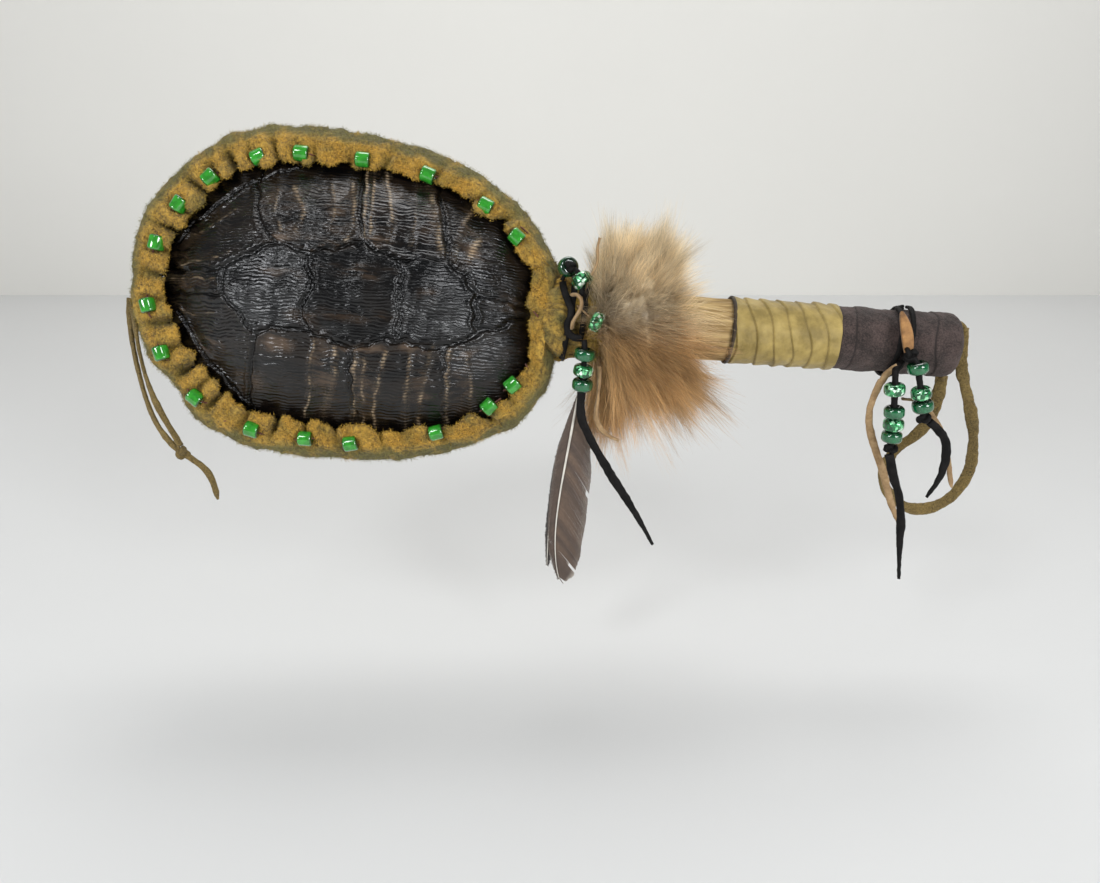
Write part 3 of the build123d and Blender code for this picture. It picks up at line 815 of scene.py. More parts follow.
def make_hide():
    columns = 960
    angle = np.linspace(-math.pi, math.pi, columns, endpoint=False)
    edge = reach(angle)
    ring = np.stack([np.cos(angle), np.sin(angle)], 1)
    fold = fold_depth(angle)
    wide = fold_depth(angle, 9.0)
    around = np.stack([edge * ring[:, 0], edge * ring[:, 1], np.zeros(columns)], 1)
    waver = wobble(around, 16.0, 51) * 0.9 + wobble(around, 6.0, 52) * 0.45
    opening = lip_inset(angle) + 2.0 * (wide - fold) - 6.0 * fold + waver
    edge_height = 14.2 + 2.1 * (1 - fold) + 3.0 * (wide - fold) - 6.2 * fold + waver * 0.5
    rows = []
    gold_tone_and_shade = []
    for step in range(BACK_ROWS):
        rows.append(((edge - 30) * 0.97 * math.sqrt(step / (BACK_ROWS - 1)), np.full(columns, -23.7)))
        gold_tone_and_shade.append(np.full(columns, 0.12))
    # Painted shade: rows below the lip fade to the darker olive copy of the leather, and the lip rows are gold.
    for inset, height in SECTION:
        rows.append((edge - inset, np.full(columns, float(height))))
        gold_tone_and_shade.append(np.full(columns, float(smoothstep(11.0, 14.5, height))))
    start_inset, start_height = SECTION[-1]
    for step in range(1, LIP_STEPS + 1):
        t = step / LIP_STEPS
        inset = start_inset + (opening - start_inset) * t
        height = start_height + (edge_height - start_height) * t ** 1.25 + 0.9 * math.sin(math.pi * t)
        rows.append((edge - inset, height))
        gold_tone_and_shade.append(np.ones(columns))
    thickness = 1.9
    for out, drop in ((0.45, 0.35), (0.55, 1.0), (0.2, 1.6), (-0.6, thickness), (-3.0, 2.3), (-6.0, 2.9)):
        rows.append((edge - opening - out, edge_height - drop))
        gold_tone_and_shade.append(np.full(columns, 0.9))
    radius = np.array([r for r, _ in rows])
    height = np.array([h for _, h in rows])
    gold_tone_and_shade = np.array(gold_tone_and_shade)
    near_edge = np.clip((edge[None, :] - radius) / 12.0, 0, 1)
    lip_rows = np.arange(len(rows)) >= BACK_ROWS + len(SECTION) - 5
    height = height - (5.2 * fold[None, :] * near_edge ** 1.2) * lip_rows[:, None]
    x = CENTRE[0] + radius * ring[None, :, 0]
    v = CENTRE[1] + radius * ring[None, :, 1]
    for place, _ in BEADS:
        away = np.hypot(x - place[0], v - place[1])
        height -= 2.1 * np.exp(-(away / 4.4) ** 2) * lip_rows[:, None]
        height += 0.9 * np.exp(-((away - 7.0) / 2.4) ** 2) * lip_rows[:, None]
    flat = to_row(x, v, height).reshape(-1, 3)
    push = wobble(flat, 26.0, 53) * 0.8 + wobble(flat, 9.0, 54) * 0.45 + wobble(flat, 3.2, 55) * 0.24
    spread = flat.reshape(len(rows), columns, 3)
    du = np.roll(spread, -1, axis=1) - np.roll(spread, 1, axis=1)
    dv = np.gradient(spread, axis=0)
    normal = np.cross(du, dv)
    normal /= np.linalg.norm(normal, axis=-1, keepdims=True) + 1e-9
    outward = (spread - to_row(CENTRE[0], CENTRE[1], -4.0))
    flip = np.sign((normal * outward).sum(-1))[BACK_ROWS + 7, 0]
    spread = spread + normal * flip * push.reshape(len(rows), columns, 1)
    back_ruck = np.sin(np.arctan2(v, x + 260.0) * 90 + x * 0.05) * smoothstep(70, 100, x) * 0.5
    spread = spread + OUT * (back_ruck * (height < 0))[..., None]
    gold_tone_and_shade = np.clip(gold_tone_and_shade + wobble(flat, 12.0, 56).reshape(gold_tone_and_shade.shape) * 0.3
                     + wobble(flat, 3.0, 57).reshape(gold_tone_and_shade.shape) * 0.14, 0, 1)
    # Painted shade: the colour is darkened in the valleys of the lip's gathers, most at the lip's edge.
    gold_tone_and_shade *= 1 - 0.8 * np.clip(fold[None, :] * near_edge * 1.2, 0, 1)
    faces = grid_faces(len(rows), columns, wrap_cols=True)
    if flip < 0:
        faces = faces[:, ::-1]
    piece = new_mesh("hide_bag", spread.reshape(-1, 3) * MM, faces, mat_hide)
    set_values(piece, "gold_tone_and_shade", gold_tone_and_shade)
    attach(piece, "rattle")
    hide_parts("hide_cover")
    return spread, normal * flip, gold_tone_and_shade


hide_points, hide_normals, hide_gold_tone_and_shade = make_hide()


def make_fuzz(name, points, normals, tones, count, low, high, seed, body, lean=0.8, root=0.11,
              outward=0.0):
    """Short loose fibres standing on a surface grid, each one a thin blade."""
    rng = np.random.default_rng(seed)
    rows, cols = points.shape[:2]
    r = rng.integers(0, rows, count)
    c = rng.integers(0, cols, count)
    jitter = rng.normal(size=(count, 3)) * 0.35
    base = points[r, c] + jitter
    direction = normals[r, c] * (1 + outward) + rng.normal(size=(count, 3)) * lean
    direction /= np.linalg.norm(direction, axis=1, keepdims=True)
    side = np.cross(direction, rng.normal(size=(count, 3)))
    side /= np.linalg.norm(side, axis=1, keepdims=True)
    length = rng.uniform(low, high, (count, 1)) * rng.uniform(0.5, 1.0, (count, 1))
    bend = rng.normal(size=(count, 3)) * 0.25 * length
    tip = base + direction * length + bend
    middle = base + direction * length * 0.55
    blades = np.stack([base - side * root / 2, base + side * root / 2, middle + side * root / 3,
                       tip, middle - side * root / 3], axis=1)
    start = np.arange(count)[:, None] * 5
    faces = np.concatenate([start + [0, 1, 2], start + [0, 2, 4], start + [4, 2, 3]])
    piece = new_mesh(name, blades.reshape(-1, 3) * MM, faces, mat_fuzz)
    shade = tones[r, c] * rng.uniform(0.55, 1.45, (count, 1))
    set_colours(piece, "shade", np.repeat(shade, 5, axis=0))
    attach(piece, body)
    return piece


# The fuzz takes the hide's colours, painted shade included.
hide_tones_and_shade = (np.array(OLIVE_IN_SHADE) * 1.7)[None, None, :] * (1 - hide_gold_tone_and_shade[..., None]) \
    + np.array(GOLD)[None, None, :] * 1.1 * hide_gold_tone_and_shade[..., None]
front = slice(BACK_ROWS + 4, -3)
for half, seed in ((1, 61), (2, 64)):
    make_fuzz(f"hide_fuzz_{half}", hide_points[front], hide_normals[front], hide_tones_and_shade[front], 52000, 0.5, 1.7,
              seed, "rattle", lean=0.85, root=0.17)
behind = slice(3, BACK_ROWS + 4)
make_fuzz("hide_back_fuzz", hide_points[behind], hide_normals[behind], hide_tones_and_shade[behind], 30000, 0.5, 1.5, 63,
          "rattle", lean=0.85, root=0.2)


# ================================================================ beads
def bead_profile(radius, length, hole, rounding):
    """Closed (along, radius) section of a barrel bead."""
    half = length / 2
    points = []
    for corner, start in (((half - rounding, radius - rounding), 90),
                          ((half - 0.5, hole + 0.5), 0)):
        size = rounding if start == 90 else 0.5
        for step in range(7):
            turn = math.radians(start - step * 15) if start == 90 else math.radians(-step * 15)
            points.append((corner[0] + size * math.cos(turn), corner[1] + size * math.sin(turn)))
    inner = [(half - 1.2, hole)]
    right = points + inner
    left = [(-a, r) for a, r in reversed(right)]
    return right + left


def make_bead(name, node, centre, axis, radius, length, hole, rounding, material, slot, body, seed):
    """Glass barrel bead, not quite round, in place of its CAD node."""
    rng = np.random.default_rng(seed)
    points, faces = lathe_part(bead_profile(radius, length, hole, rounding), centre, axis, 44)
    out = points - np.asarray(centre)
    points = points + out * (wobble(points, radius * 3.0, seed) * 0.018)[:, None]
    points = np.asarray(centre) + (points - np.asarray(centre)) * rng.uniform(0.97, 1.02)
    along = np.abs(out @ (np.asarray(axis, float) / np.linalg.norm(axis)))
    piece = new_mesh(name, points * MM, faces, material)
    # end marks the bead's ends, where the glass material paints shade.
    set_values(piece, "end", smoothstep(length / 2 - rounding * 0.75, length / 2 - 0.1, along))
    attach(piece, body)
    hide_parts(node)
    return piece


for number, (place, ahead) in enumerate(BEADS, start=1):
    spin = np.random.default_rng(200 + number).uniform(-0.2, 0.2)
    turned = np.array([ahead[0] * math.cos(spin) - ahead[1] * math.sin(spin),
                       ahead[0] * math.sin(spin) + ahead[1] * math.cos(spin)])
    centre = to_row(place[0], place[1], BEAD_HEIGHT)
    axis = to_row(turned[0], turned[1], 0.0) - to_row(0.0, 0.0, 0.0)
    make_bead(f"glass_rim_bead_{number:02d}", f"rim_bead_{number:02d}", centre, axis, 3.45, 6.7, 1.0, 1.2,
              mat_rim_bead, "rim_bead_glass", "rattle", 300 + number)


def make_stitches():
    """Sinew: through each bead and down into the hide, with a few long stitches at the neck."""
    parts = []
    for number, (place, ahead) in enumerate(BEADS):
        rng = np.random.default_rng(400 + number)
        for sign in (-1, 1):
            run = 4.6 + rng.uniform(0, 1.4)
            skew = rng.uniform(-1.2, 1.2)
            out = np.array([ahead[1], -ahead[0]])
            route = []
            for share, height in ((0.0, 0.0), (0.62, 0.1), (0.85, -0.7), (1.0, -2.6)):
                spot = place + ahead * sign * run * share + out * skew * share
                route.append(to_row(spot[0], spot[1], BEAD_HEIGHT + height))
            parts.append(tube_part(curve_line(route, 6), 0.85, 0.7, ring=8, side=OUT))
    for start, end in (((84, 4), (93, -6)), ((86, -2), (92, -15)), ((84, -22), (88, -27)),
                       ((-85, 14), (-88, 10)), ((-50, -57), (-46, -55)), ((78, 38), (82, 35))):
        lift = 14.2
        route = [to_row(*start, lift - 1.2), to_row(*start, lift + 0.5), to_row(*end, lift - 2.0),
                 to_row(*end, lift - 4.5)]
        parts.append(tube_part(curve_line(route, 8), 0.9, 0.7, ring=8, side=OUT))
    points, faces = joined(parts)
    piece = new_mesh("sinew_stitches", points * MM, faces, mat_sinew)
    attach(piece, "rattle")
    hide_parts("rim_stitching")


make_stitches()

PONY = (4.6, 5.5, 1.9, 1.9)
PONY_BEADS = [
    ("neck_bead_1", (-136.0, -8.0, 25.0), (0.3, -0.9, 0.3), mat_green, "green_glass", "rattle"),
    ("neck_bead_2", (-129.5, -16.5, 21.0), (0.6, -0.5, -0.6), mat_crackle, "silver_lined_glass", "rattle"),
    ("neck_bead_3", (-122.0, -24.6, 5.2), (0.9, -0.2, -0.3), mat_crackle, "silver_lined_glass", "rattle"),
    ("drop_bead_1", (-126.2, -25.0, -9.5), (0.12, 0, 1), mat_green, "green_glass", "neck_string"),
    ("drop_bead_2", (-126.2, -25.0, -17.0), (0.12, 0, 1), mat_crackle, "silver_lined_glass", "neck_string"),
    ("drop_bead_3", (-126.2, -25.0, -23.4), (0.05, 0, 1), mat_green, "green_glass", "neck_string"),
    ("right_bead_1", (20.2, -22.3, -5.8), (0.3, 0, -0.95), mat_green, "green_glass", "right_string"),
    ("right_bead_2", (24.0, -22.3, -17.2), (0.3, 0, -0.95), mat_crackle, "silver_lined_glass", "right_string"),
    ("right_bead_3", (25.9, -22.3, -23.2), (0.3, 0, -0.95), mat_green, "green_glass", "right_string"),
    ("left_bead_1", (12.0, -22.3, -16.4), (0.15, 0, -1), mat_crackle, "silver_lined_glass", "left_string"),
    ("left_bead_2", (14.0, -22.3, -26.8), (0.15, 0, -1), mat_green, "green_glass", "left_string"),
    ("left_bead_3", (14.8, -22.3, -32.6), (0.1, 0, -1), mat_crackle, "silver_lined_glass", "left_string"),
    ("left_bead_4", (15.2, -22.3, -38.4), (0.05, 0, -1), mat_green, "green_glass", "left_string"),
]
for number, (node, centre, axis, material, slot, body) in enumerate(PONY_BEADS):
    make_bead(f"glass_{node}", node, centre, axis, *PONY[:2], PONY[2], PONY[3], material, slot, body,
              500 + number)


# ================================================================ laces that are tied round things
def knot_part(centre, size, tube, axis=(0, 0, 1), seed=0):
    """Overhand knot: a closed trefoil of lace."""
    t = np.linspace(0, TAU, 72, endpoint=False)
    x = np.sin(t) + 2 * np.sin(2 * t)
    y = np.cos(t) - 2 * np.cos(2 * t)
    z = -1.2 * np.sin(3 * t)
    line = np.stack([x, y, z], 1) * size / 3.0
    axis = Vector(axis).normalized()
    turn = np.array(Vector((0, 0, 1)).rotation_difference(axis).to_matrix())
    line = line @ turn.T + np.asarray(centre)
    line = np.concatenate([line, line[:1]])
    return tube_part(line, tube * 1.25, tube * 0.9, ring=10, square=1.3, rough=0.12, seed=seed)


def ring_line(x_start, x_end, radius, turns=1.0, start_deg=90.0, lean=0.0, count=90, lump=0.25, seed=0):
    """Lace wound about the handle's axis; lean tips each turn along x towards the front."""
    t = np.linspace(0, 1, int(count * turns))
    angle = math.radians(start_deg) + t * TAU * turns
    x = x_start + (x_end - x_start) * t + lean * np.sin(angle)
    helper = np.stack([np.cos(angle) * 10, np.sin(angle) * 10, x], 1)
    r = radius + wobble(helper, 8.0, 70 + seed) * lump
    return np.stack([x, r * np.cos(angle), r * np.sin(angle)], 1)


def tied(name, body, material, parts, node=None):
    points, faces = joined(parts)
    piece = new_mesh(name, points * MM, faces, material)
    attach(piece, body)
    if node:
        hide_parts(node)
    return piece


# ---------------------------------------------------------------- neck
def make_neck():
    """Gathered end of the hide: folded sleeve on the stick, pinched by the lace, with loose tabs."""
    columns = 360
    stations = [(-152.0, 11.0), (-148.0, 13.5), (-144.0, 16.5), (-140.0, 18.6), (-137.5, 19.4), (-135.5, 18.6),
                (-133.5, 17.3),
                (-131.5, 16.9), (-129.5, 16.9), (-127.5, 17.2), (-125.5, 18.2), (-123.5, 19.2),
                (-121.5, 19.6), (-119.5, 19.3), (-118.0, 18.6), (-117.6, 17.2), (-119.0, 15.6),
                (-122.0, 14.4)]
    angle = np.linspace(0, TAU, columns, endpoint=False)
    rows = []
    for x, radius in stations:
        at = np.stack([np.cos(angle) * 14, np.sin(angle) * 14, np.full(columns, x * 0.35)], 1)
        pleat = np.abs(np.sin(angle * 8 + wobble(at, 14.0, 81) * 1.6)) - 0.5
        depth = 2.0 if x < -125 else 1.5
        r = radius + pleat * depth + wobble(at, 7.0, 82) * 0.5
        ragged = wobble(at, 6.0, 83) * (1.3 if x > -123 else 0.3)
        rows.append(np.stack([x + ragged, r * np.cos(angle), r * np.sin(angle)], 1))
    points = np.array(rows)
    normals = np.zeros_like(points)
    normals[..., 1] = np.cos(angle)
    normals[..., 2] = np.sin(angle)
    piece = new_mesh("gathered_neck", points.reshape(-1, 3) * MM,
                     grid_faces(len(stations), columns, wrap_cols=True)[:, ::-1], mat_hide)
    tone = 0.55 + 0.35 * wobble(points.reshape(-1, 3), 10.0, 84)
    set_values(piece, "gold_tone_and_shade", np.clip(tone, 0, 1))
    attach(piece, "rattle")
    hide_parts("neck_collar")
    tones = np.broadcast_to(np.array(GOLD) * 0.9, points.shape)
    make_fuzz("neck_fuzz", points, normals, tones, 5000, 0.5, 1.4, 62, "rattle")


make_neck()
tied("neck_lace_turns", "rattle", mat_black, [
    tube_part(ring_line(-135.4, -131.5, 19.0, 1.0, 80, 2.8, seed=1), 2.9, 1.6, side=(1, 0, 0), ring=12,
              square=1.4, rough=0.15, seed=91),
    tube_part(curve_line([(-138.0, -9.5, 18.0), (-137.6, -13.5, 16.5), (-135.5, -17.5, 12.5), (-133.0, -20.0, 8.5),
                          (-133.6, -21.0, 5.0), (-135.0, -21.0, 1.0), (-133.5, -21.0, -2.6), (-130.0, -21.4, -3.6),
                          (-127.6, -22.2, -3.0)], 10), 3.3, 1.9, side=(1, 0, 0), ring=12, square=1.4, rough=0.16,
              seed=92, turn=0.3),
    tube_part(ring_line(-131.0, -127.8, 18.4, 0.7, -60, 1.6, seed=3), 2.6, 1.6, side=(1, 0, 0), ring=12,
              square=1.4, rough=0.15, seed=93),
    tube_part(curve_line([(-138.5, -9, 19), (-136.0, -8.0, 25.0), (-132, -13.5, 25), (-129.5, -16.5, 21.0),
                          (-129.5, -20.0, 15)], 8), 2.4, 1.8, ring=10, rough=0.1, seed=94),
    knot_part((-135.1, -10.9, 25.9), 1.9, 1.9, (0.3, -0.9, 0.3), 9),
], "neck_binding")
tied("tan_neck_ends", "rattle", mat_tan, [
    tube_part(curve_line([(-133.5, -19.5, 15), (-131.5, -22.3, 16.5), (-129.0, -23.2, 13.5), (-129.5, -23.2, 9.5),
                          (-133.0, -22.6, 3.5), (-132.4, -21.6, 1.0)], 8), 2.7, 1.5, ring=12, rough=0.1, seed=95,
              side=(1, 0, 0)),
    tube_part(curve_line([(-128.0, -15.0, 17), (-125.8, -17.0, 24), (-123.4, -18.5, 30), (-124.6, -18.5, 36),
                          (-123.6, -18.0, 40)], 8), 1.9, 1.3, ring=10, rough=0.1, seed=96),
    tube_part(curve_line([(-131.0, -21.5, 11), (-127.0, -23.5, 8), (-122.0, -24.6, 5.2), (-118.5, -25.0, 3.6)], 8),
              0.9, 0.8, ring=8, seed=97),
])

DROP = [(-127.0, -24.1, -3.4), (-126.6, -24.6, -5.5), (-126.2, -25, -9.5), (-126.2, -25, -17), (-126.2, -25, -26.5)]
tied("neck_string_core", "neck_string", mat_black,
     [tube_part(curve_line(DROP, 8), 3.3, 2.6, ring=12, rough=0.1, seed=98)])

tied("strap_roots", "wrist_loop", mat_olive, [
    tube_part(curve_line([(40.6, 0.0, 9.6), (44.4, 0.0, 10.6), (46.2, 0.0, 8.6), (46.4, 0.0, 6.0)], 8), 5.0, 2.2,
              side=(0, 1, 0), ring=14, square=1.5, rough=0.2, seed=108),
    tube_part(curve_line([(41.3, 0.0, -16.5), (41.1, 0.0, -13.5), (40.4, 0.0, -11.0), (38.8, 0.0, -9.6)], 8), 5.0, 2.2,
              side=(0, 1, 0), ring=14, square=1.5, rough=0.2, seed=109)])

# ---------------------------------------------------------------- handle strings
tied("right_string_lace", "right_string", mat_black, [
    tube_part(curve_line([(17.4, -21.4, -1.6), (19.0, -22.2, -3.0), (20.2, -22.3, -5.8), (22.0, -22.3, -11.4),
                          (24.0, -22.3, -17.2), (25.9, -22.3, -23.2), (27.4, -22.3, -28.0)], 8),
              3.4, 2.8, ring=12, rough=0.12, seed=101, side=(0, 1, 0)),
    knot_part((27.8, -22.3, -29.0), 2.3, 2.1, (0.3, -0.3, -0.95), 5),
], "right_lace")
tied("right_cross_lace", "right_string", mat_tan, [
    tube_part(curve_line([(17.9, -18.4, -21.6), (19.5, -18.0, -21.8), (24.5, -17.2, -22.2),
                          (31.6, -17.8, -26.9)], 8), 2.0, 1.4, ring=10, rough=0.1, seed=102)])
tied("tan_tail_root", "left_string", mat_tan, [
    tube_part(curve_line([(7.3, -17.5, -15.0), (8.4, -17.6, -11.5), (10.6, -18.4, -8.4), (12.6, -18.9, -6.6)], 8),
              3.2, 1.5, side=(1, 0, 0), ring=14, square=1.5, rough=0.1, seed=110)])
tied("left_string_lace", "left_string", mat_black, [
    tube_part(curve_line([(11.2, -20.6, -8.0), (11.4, -22.2, -11.0), (12.0, -22.3, -16.4), (13.0, -22.3, -21.6),
                          (14.0, -22.3, -26.8), (14.8, -22.3, -32.6), (15.4, -22.3, -43.6)], 8),
              3.4, 2.8, ring=12, rough=0.12, seed=103, side=(0, 1, 0)),
    knot_part((15.6, -22.3, -44.2), 2.3, 2.1, (0, -0.3, -1), 6),
], "left_lace")
tied("thong_overhand_knot", "tip_thong", mat_olive, [
    knot_part((-314.4, -9.8, -76.3), 2.5, 2.4, (0.8, -0.5, -0.4), 7)], "thong_knot")

tied("butt_lace_turns", "rattle", mat_black, [
    tube_part(ring_line(12.6, 14.6, 15.5, 1.0, 90, 1.6, seed=4), 2.5, 1.5, side=(1, 0, 0), ring=12, square=1.4,
              rough=0.15, seed=104),
    tube_part(ring_line(17.6, 15.0, 15.9, 1.0, 80, 2.2, seed=5), 2.3, 1.5, side=(1, 0, 0), ring=12, square=1.4,
              rough=0.15, seed=105),
    knot_part((16.4, -20.4, -0.6), 2.6, 2.3, (0.3, -0.8, 0.2), 8),
    tube_part(curve_line([(14.6, -15.5, -6.0), (13.0, -18.5, -6.6), (11.2, -20.4, -8.0)], 8), 3.2, 2.4, ring=12,
              rough=0.1, seed=106),
], "handle_binding")


mat_raw_edge = lace_leather("raw_edge", (0.02, 0.012, 0.006), (0.07, 0.045, 0.02), 0.85)


def make_leaf():
    """Pointed tan strip lying over the butt lace."""
    count, across = 40, 9
    t = np.linspace(0, 1, count)
    angle = np.radians(126 + 68 * t)
    half = 2.3 * np.sin(math.pi * np.clip(t * 0.96 + 0.04, 0, 1)) ** 0.8 + 0.25
    middle = 12.2 + 4.6 * t ** 1.3
    radius = 18.9 + 0.5 * np.sin(math.pi * t) - 1.2 * t ** 3
    layers = []
    for lift in (0.0, 1.3):
        grid = []
        for k in np.linspace(-1, 1, across):
            x = middle + half * k
            r = radius + lift + 0.35 * (1 - k * k)
            grid.append(np.stack([x, r * np.cos(angle), r * np.sin(angle)], 1))
        layers.append(np.array(grid))
    shell = np.concatenate([layers[0], layers[1][::-1]])
    shell = shell.reshape(-1, 3)
    piece = new_mesh("tan_leaf_strip", shell * MM, grid_faces(2 * across, count, wrap_rows=True), mat_leaf)
    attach(piece, "rattle")
    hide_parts("leaf_strip")


mat_leaf = lace_leather("leaf_leather", (0.17, 0.075, 0.018), (0.42, 0.21, 0.065), 0.7)
make_leaf()


# ================================================================ handle
def sleeve(name, node, material, low, high, radius_of, step=0.4, columns=220, overlap_shade_of=None,
           closed_end=False):
    """Skin of revolution with an uneven radius, radius_of(x, angle), from low to high along x."""
    xs = np.arange(low, high + step / 2, step)
    angle = np.linspace(0, TAU, columns, endpoint=False)
    x, a = np.meshgrid(xs, angle, indexing="ij")
    r = radius_of(x, a)
    points = np.stack([x, r * np.cos(a), r * np.sin(a)], -1)
    rows = [points]
    # edge marks overlap steps and the open end rings, where the wrap materials paint shade.
    edge = [overlap_shade_of(x, a) if overlap_shade_of else np.zeros_like(x)]
    inner = points[-1:].copy()
    if closed_end:
        for share in (0.82, 0.6, 0.35, 0.1):
            ring = points[-1:].copy()
            ring[..., 1:] *= share
            ring[..., 0] += 0.5 * (1 - share)
            rows.append(ring)
            edge.append(np.zeros((1, columns)))
    else:
        inner[..., 1:] *= 0.86
        rows.append(inner)
        edge.append(np.ones((1, columns)))
    first = points[:1].copy()
    first[..., 1:] *= 0.86
    rows.insert(0, first)
    edge.insert(0, np.ones((1, columns)))
    grid = np.concatenate(rows)
    piece = new_mesh(name, grid.reshape(-1, 3) * MM,
                     grid_faces(len(grid), columns, wrap_cols=True)[:, ::-1], material)
    set_values(piece, "edge", np.concatenate(edge))
    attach(piece, "rattle")
    if node:
        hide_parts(node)
    return piece


def stick_radius(x, a):
    """Bare wood: thin in the shell, thick by the wraps, with long uneven flutes."""
    base = np.interp(x, [-296, -292, -150, -141, -120, -108, -88, -76, -60.3, -60, 40],
                     [7.0, 9.0, 9.0, 10.0, 10.0, 12.0, 13.4, 14.0, 14.0, 12.4, 12.4])
    at = np.stack([np.cos(a) * 12, np.sin(a) * 12, x * 0.1], -1).reshape(-1, 3)
    flutes = wobble(at, 5.0, 111).reshape(x.shape) * 0.35 + wobble(at, 2.0, 112).reshape(x.shape) * 0.16
    bare = smoothstep(-60.0, -62.0, x) * smoothstep(-125, -118, x)
    split = (a % TAU) - math.radians(163) - wobble(at, 20.0, 113).reshape(x.shape) * 0.03
    crack = np.exp(-(split * 14 / 0.7) ** 2) * smoothstep(-88, -80, x) * smoothstep(-62, -67, x)
    return base + (flutes - 1.1 * crack) * bare


sleeve("driftwood_stick", "handle_stick", mat_wood, -296.0, 40.0, stick_radius, step=0.8,
       columns=200)

YELLOW_LOW, YELLOW_HIGH = -60.0, -12.6
YELLOW_PITCH = 8.0


def yellow_phase(x, a):
    """Place within a turn of the strip, 0 to 1; turns lean and bulge towards the butt at the front."""
    front = -np.cos(a)
    lean = 3.4 * np.sin(a) * -1.0 + 1.6 * front
    wander = 0.5 * np.sin(a * 3 + x * 0.2)
    return (x - YELLOW_LOW - lean * smoothstep(YELLOW_LOW - 2, YELLOW_LOW + 8, x) + wander) / YELLOW_PITCH


def yellow_radius(x, a):
    phase = yellow_phase(x, a) % 1.0
    rise = smoothstep(0.0, 0.07, phase) * (1 - 0.8 * phase)
    at = np.stack([np.cos(a) * 14, np.sin(a) * 14, x], -1).reshape(-1, 3)
    soft = wobble(at, 9.0, 121).reshape(x.shape) * 0.22 + wobble(at, 3.5, 122).reshape(x.shape) * 0.07
    return 14.25 + 1.15 * rise + soft


# Painted shade line at each turn's overlap step.
def yellow_overlap_shade(x, a):
    phase = yellow_phase(x, a) % 1.0
    return 0.4 * np.exp(-((phase - 0.01) / 0.02) ** 2) + 0.3 * np.exp(-((phase - 1.0) / 0.06) ** 2)


sleeve("khaki_wrap", "yellow_wrap", mat_yellow, YELLOW_LOW, YELLOW_HIGH, yellow_radius,
       step=0.3, columns=300, overlap_shade_of=yellow_overlap_shade)
tied("khaki_wrap_raw_edge", "rattle", mat_raw_edge, [
    tube_part(ring_line(-60.6, -60.6, 14.9, 1.0, 90, 0.35, lump=0.25, seed=6), 1.7, 1.4, side=(1, 0, 0), ring=10,
              rough=0.12, seed=107)])

BROWN_SEAMS = (-6.0, 14.5, 30.5)


def brown_radius(x, a):
    """Dark wrap: broad overlapping turns, rounded over at the butt."""
    base = np.full_like(x, 14.1)
    for number, seam in enumerate(BROWN_SEAMS):
        line = seam + 1.2 * np.sin(a * (number + 1) + number) + 0.8 * np.sin(a * 2.0)
        base += 0.5 * smoothstep(0.0, 0.5, x - line) - 0.45 * smoothstep(1.0, 18.0, x - line)
    at = np.stack([np.cos(a) * 14, np.sin(a) * 14, x], -1).reshape(-1, 3)
    soft = wobble(at, 10.0, 131).reshape(x.shape) * 0.25 + wobble(at, 4.0, 132).reshape(x.shape) * 0.08
    end = np.clip((x - 39.0) / 4.4, 0, 1)
    return (base + soft) * np.sqrt(1 - 0.5 * end ** 2.6)


# Painted shade line along each overlap seam.
def brown_overlap_shade(x, a):
    total = np.zeros_like(x)
    for number, seam in enumerate(BROWN_SEAMS):
        line = seam + 1.2 * np.sin(a * (number + 1) + number) + 0.8 * np.sin(a * 2.0)
        total += np.exp(-((x - line) / 0.4) ** 2)
    return np.clip(total, 0, 1)


sleeve("taupe_wrap", "brown_wrap", mat_brown, -13.4, 43.2, brown_radius, step=0.35,
       columns=260, overlap_shade_of=brown_overlap_shade, closed_end=True)


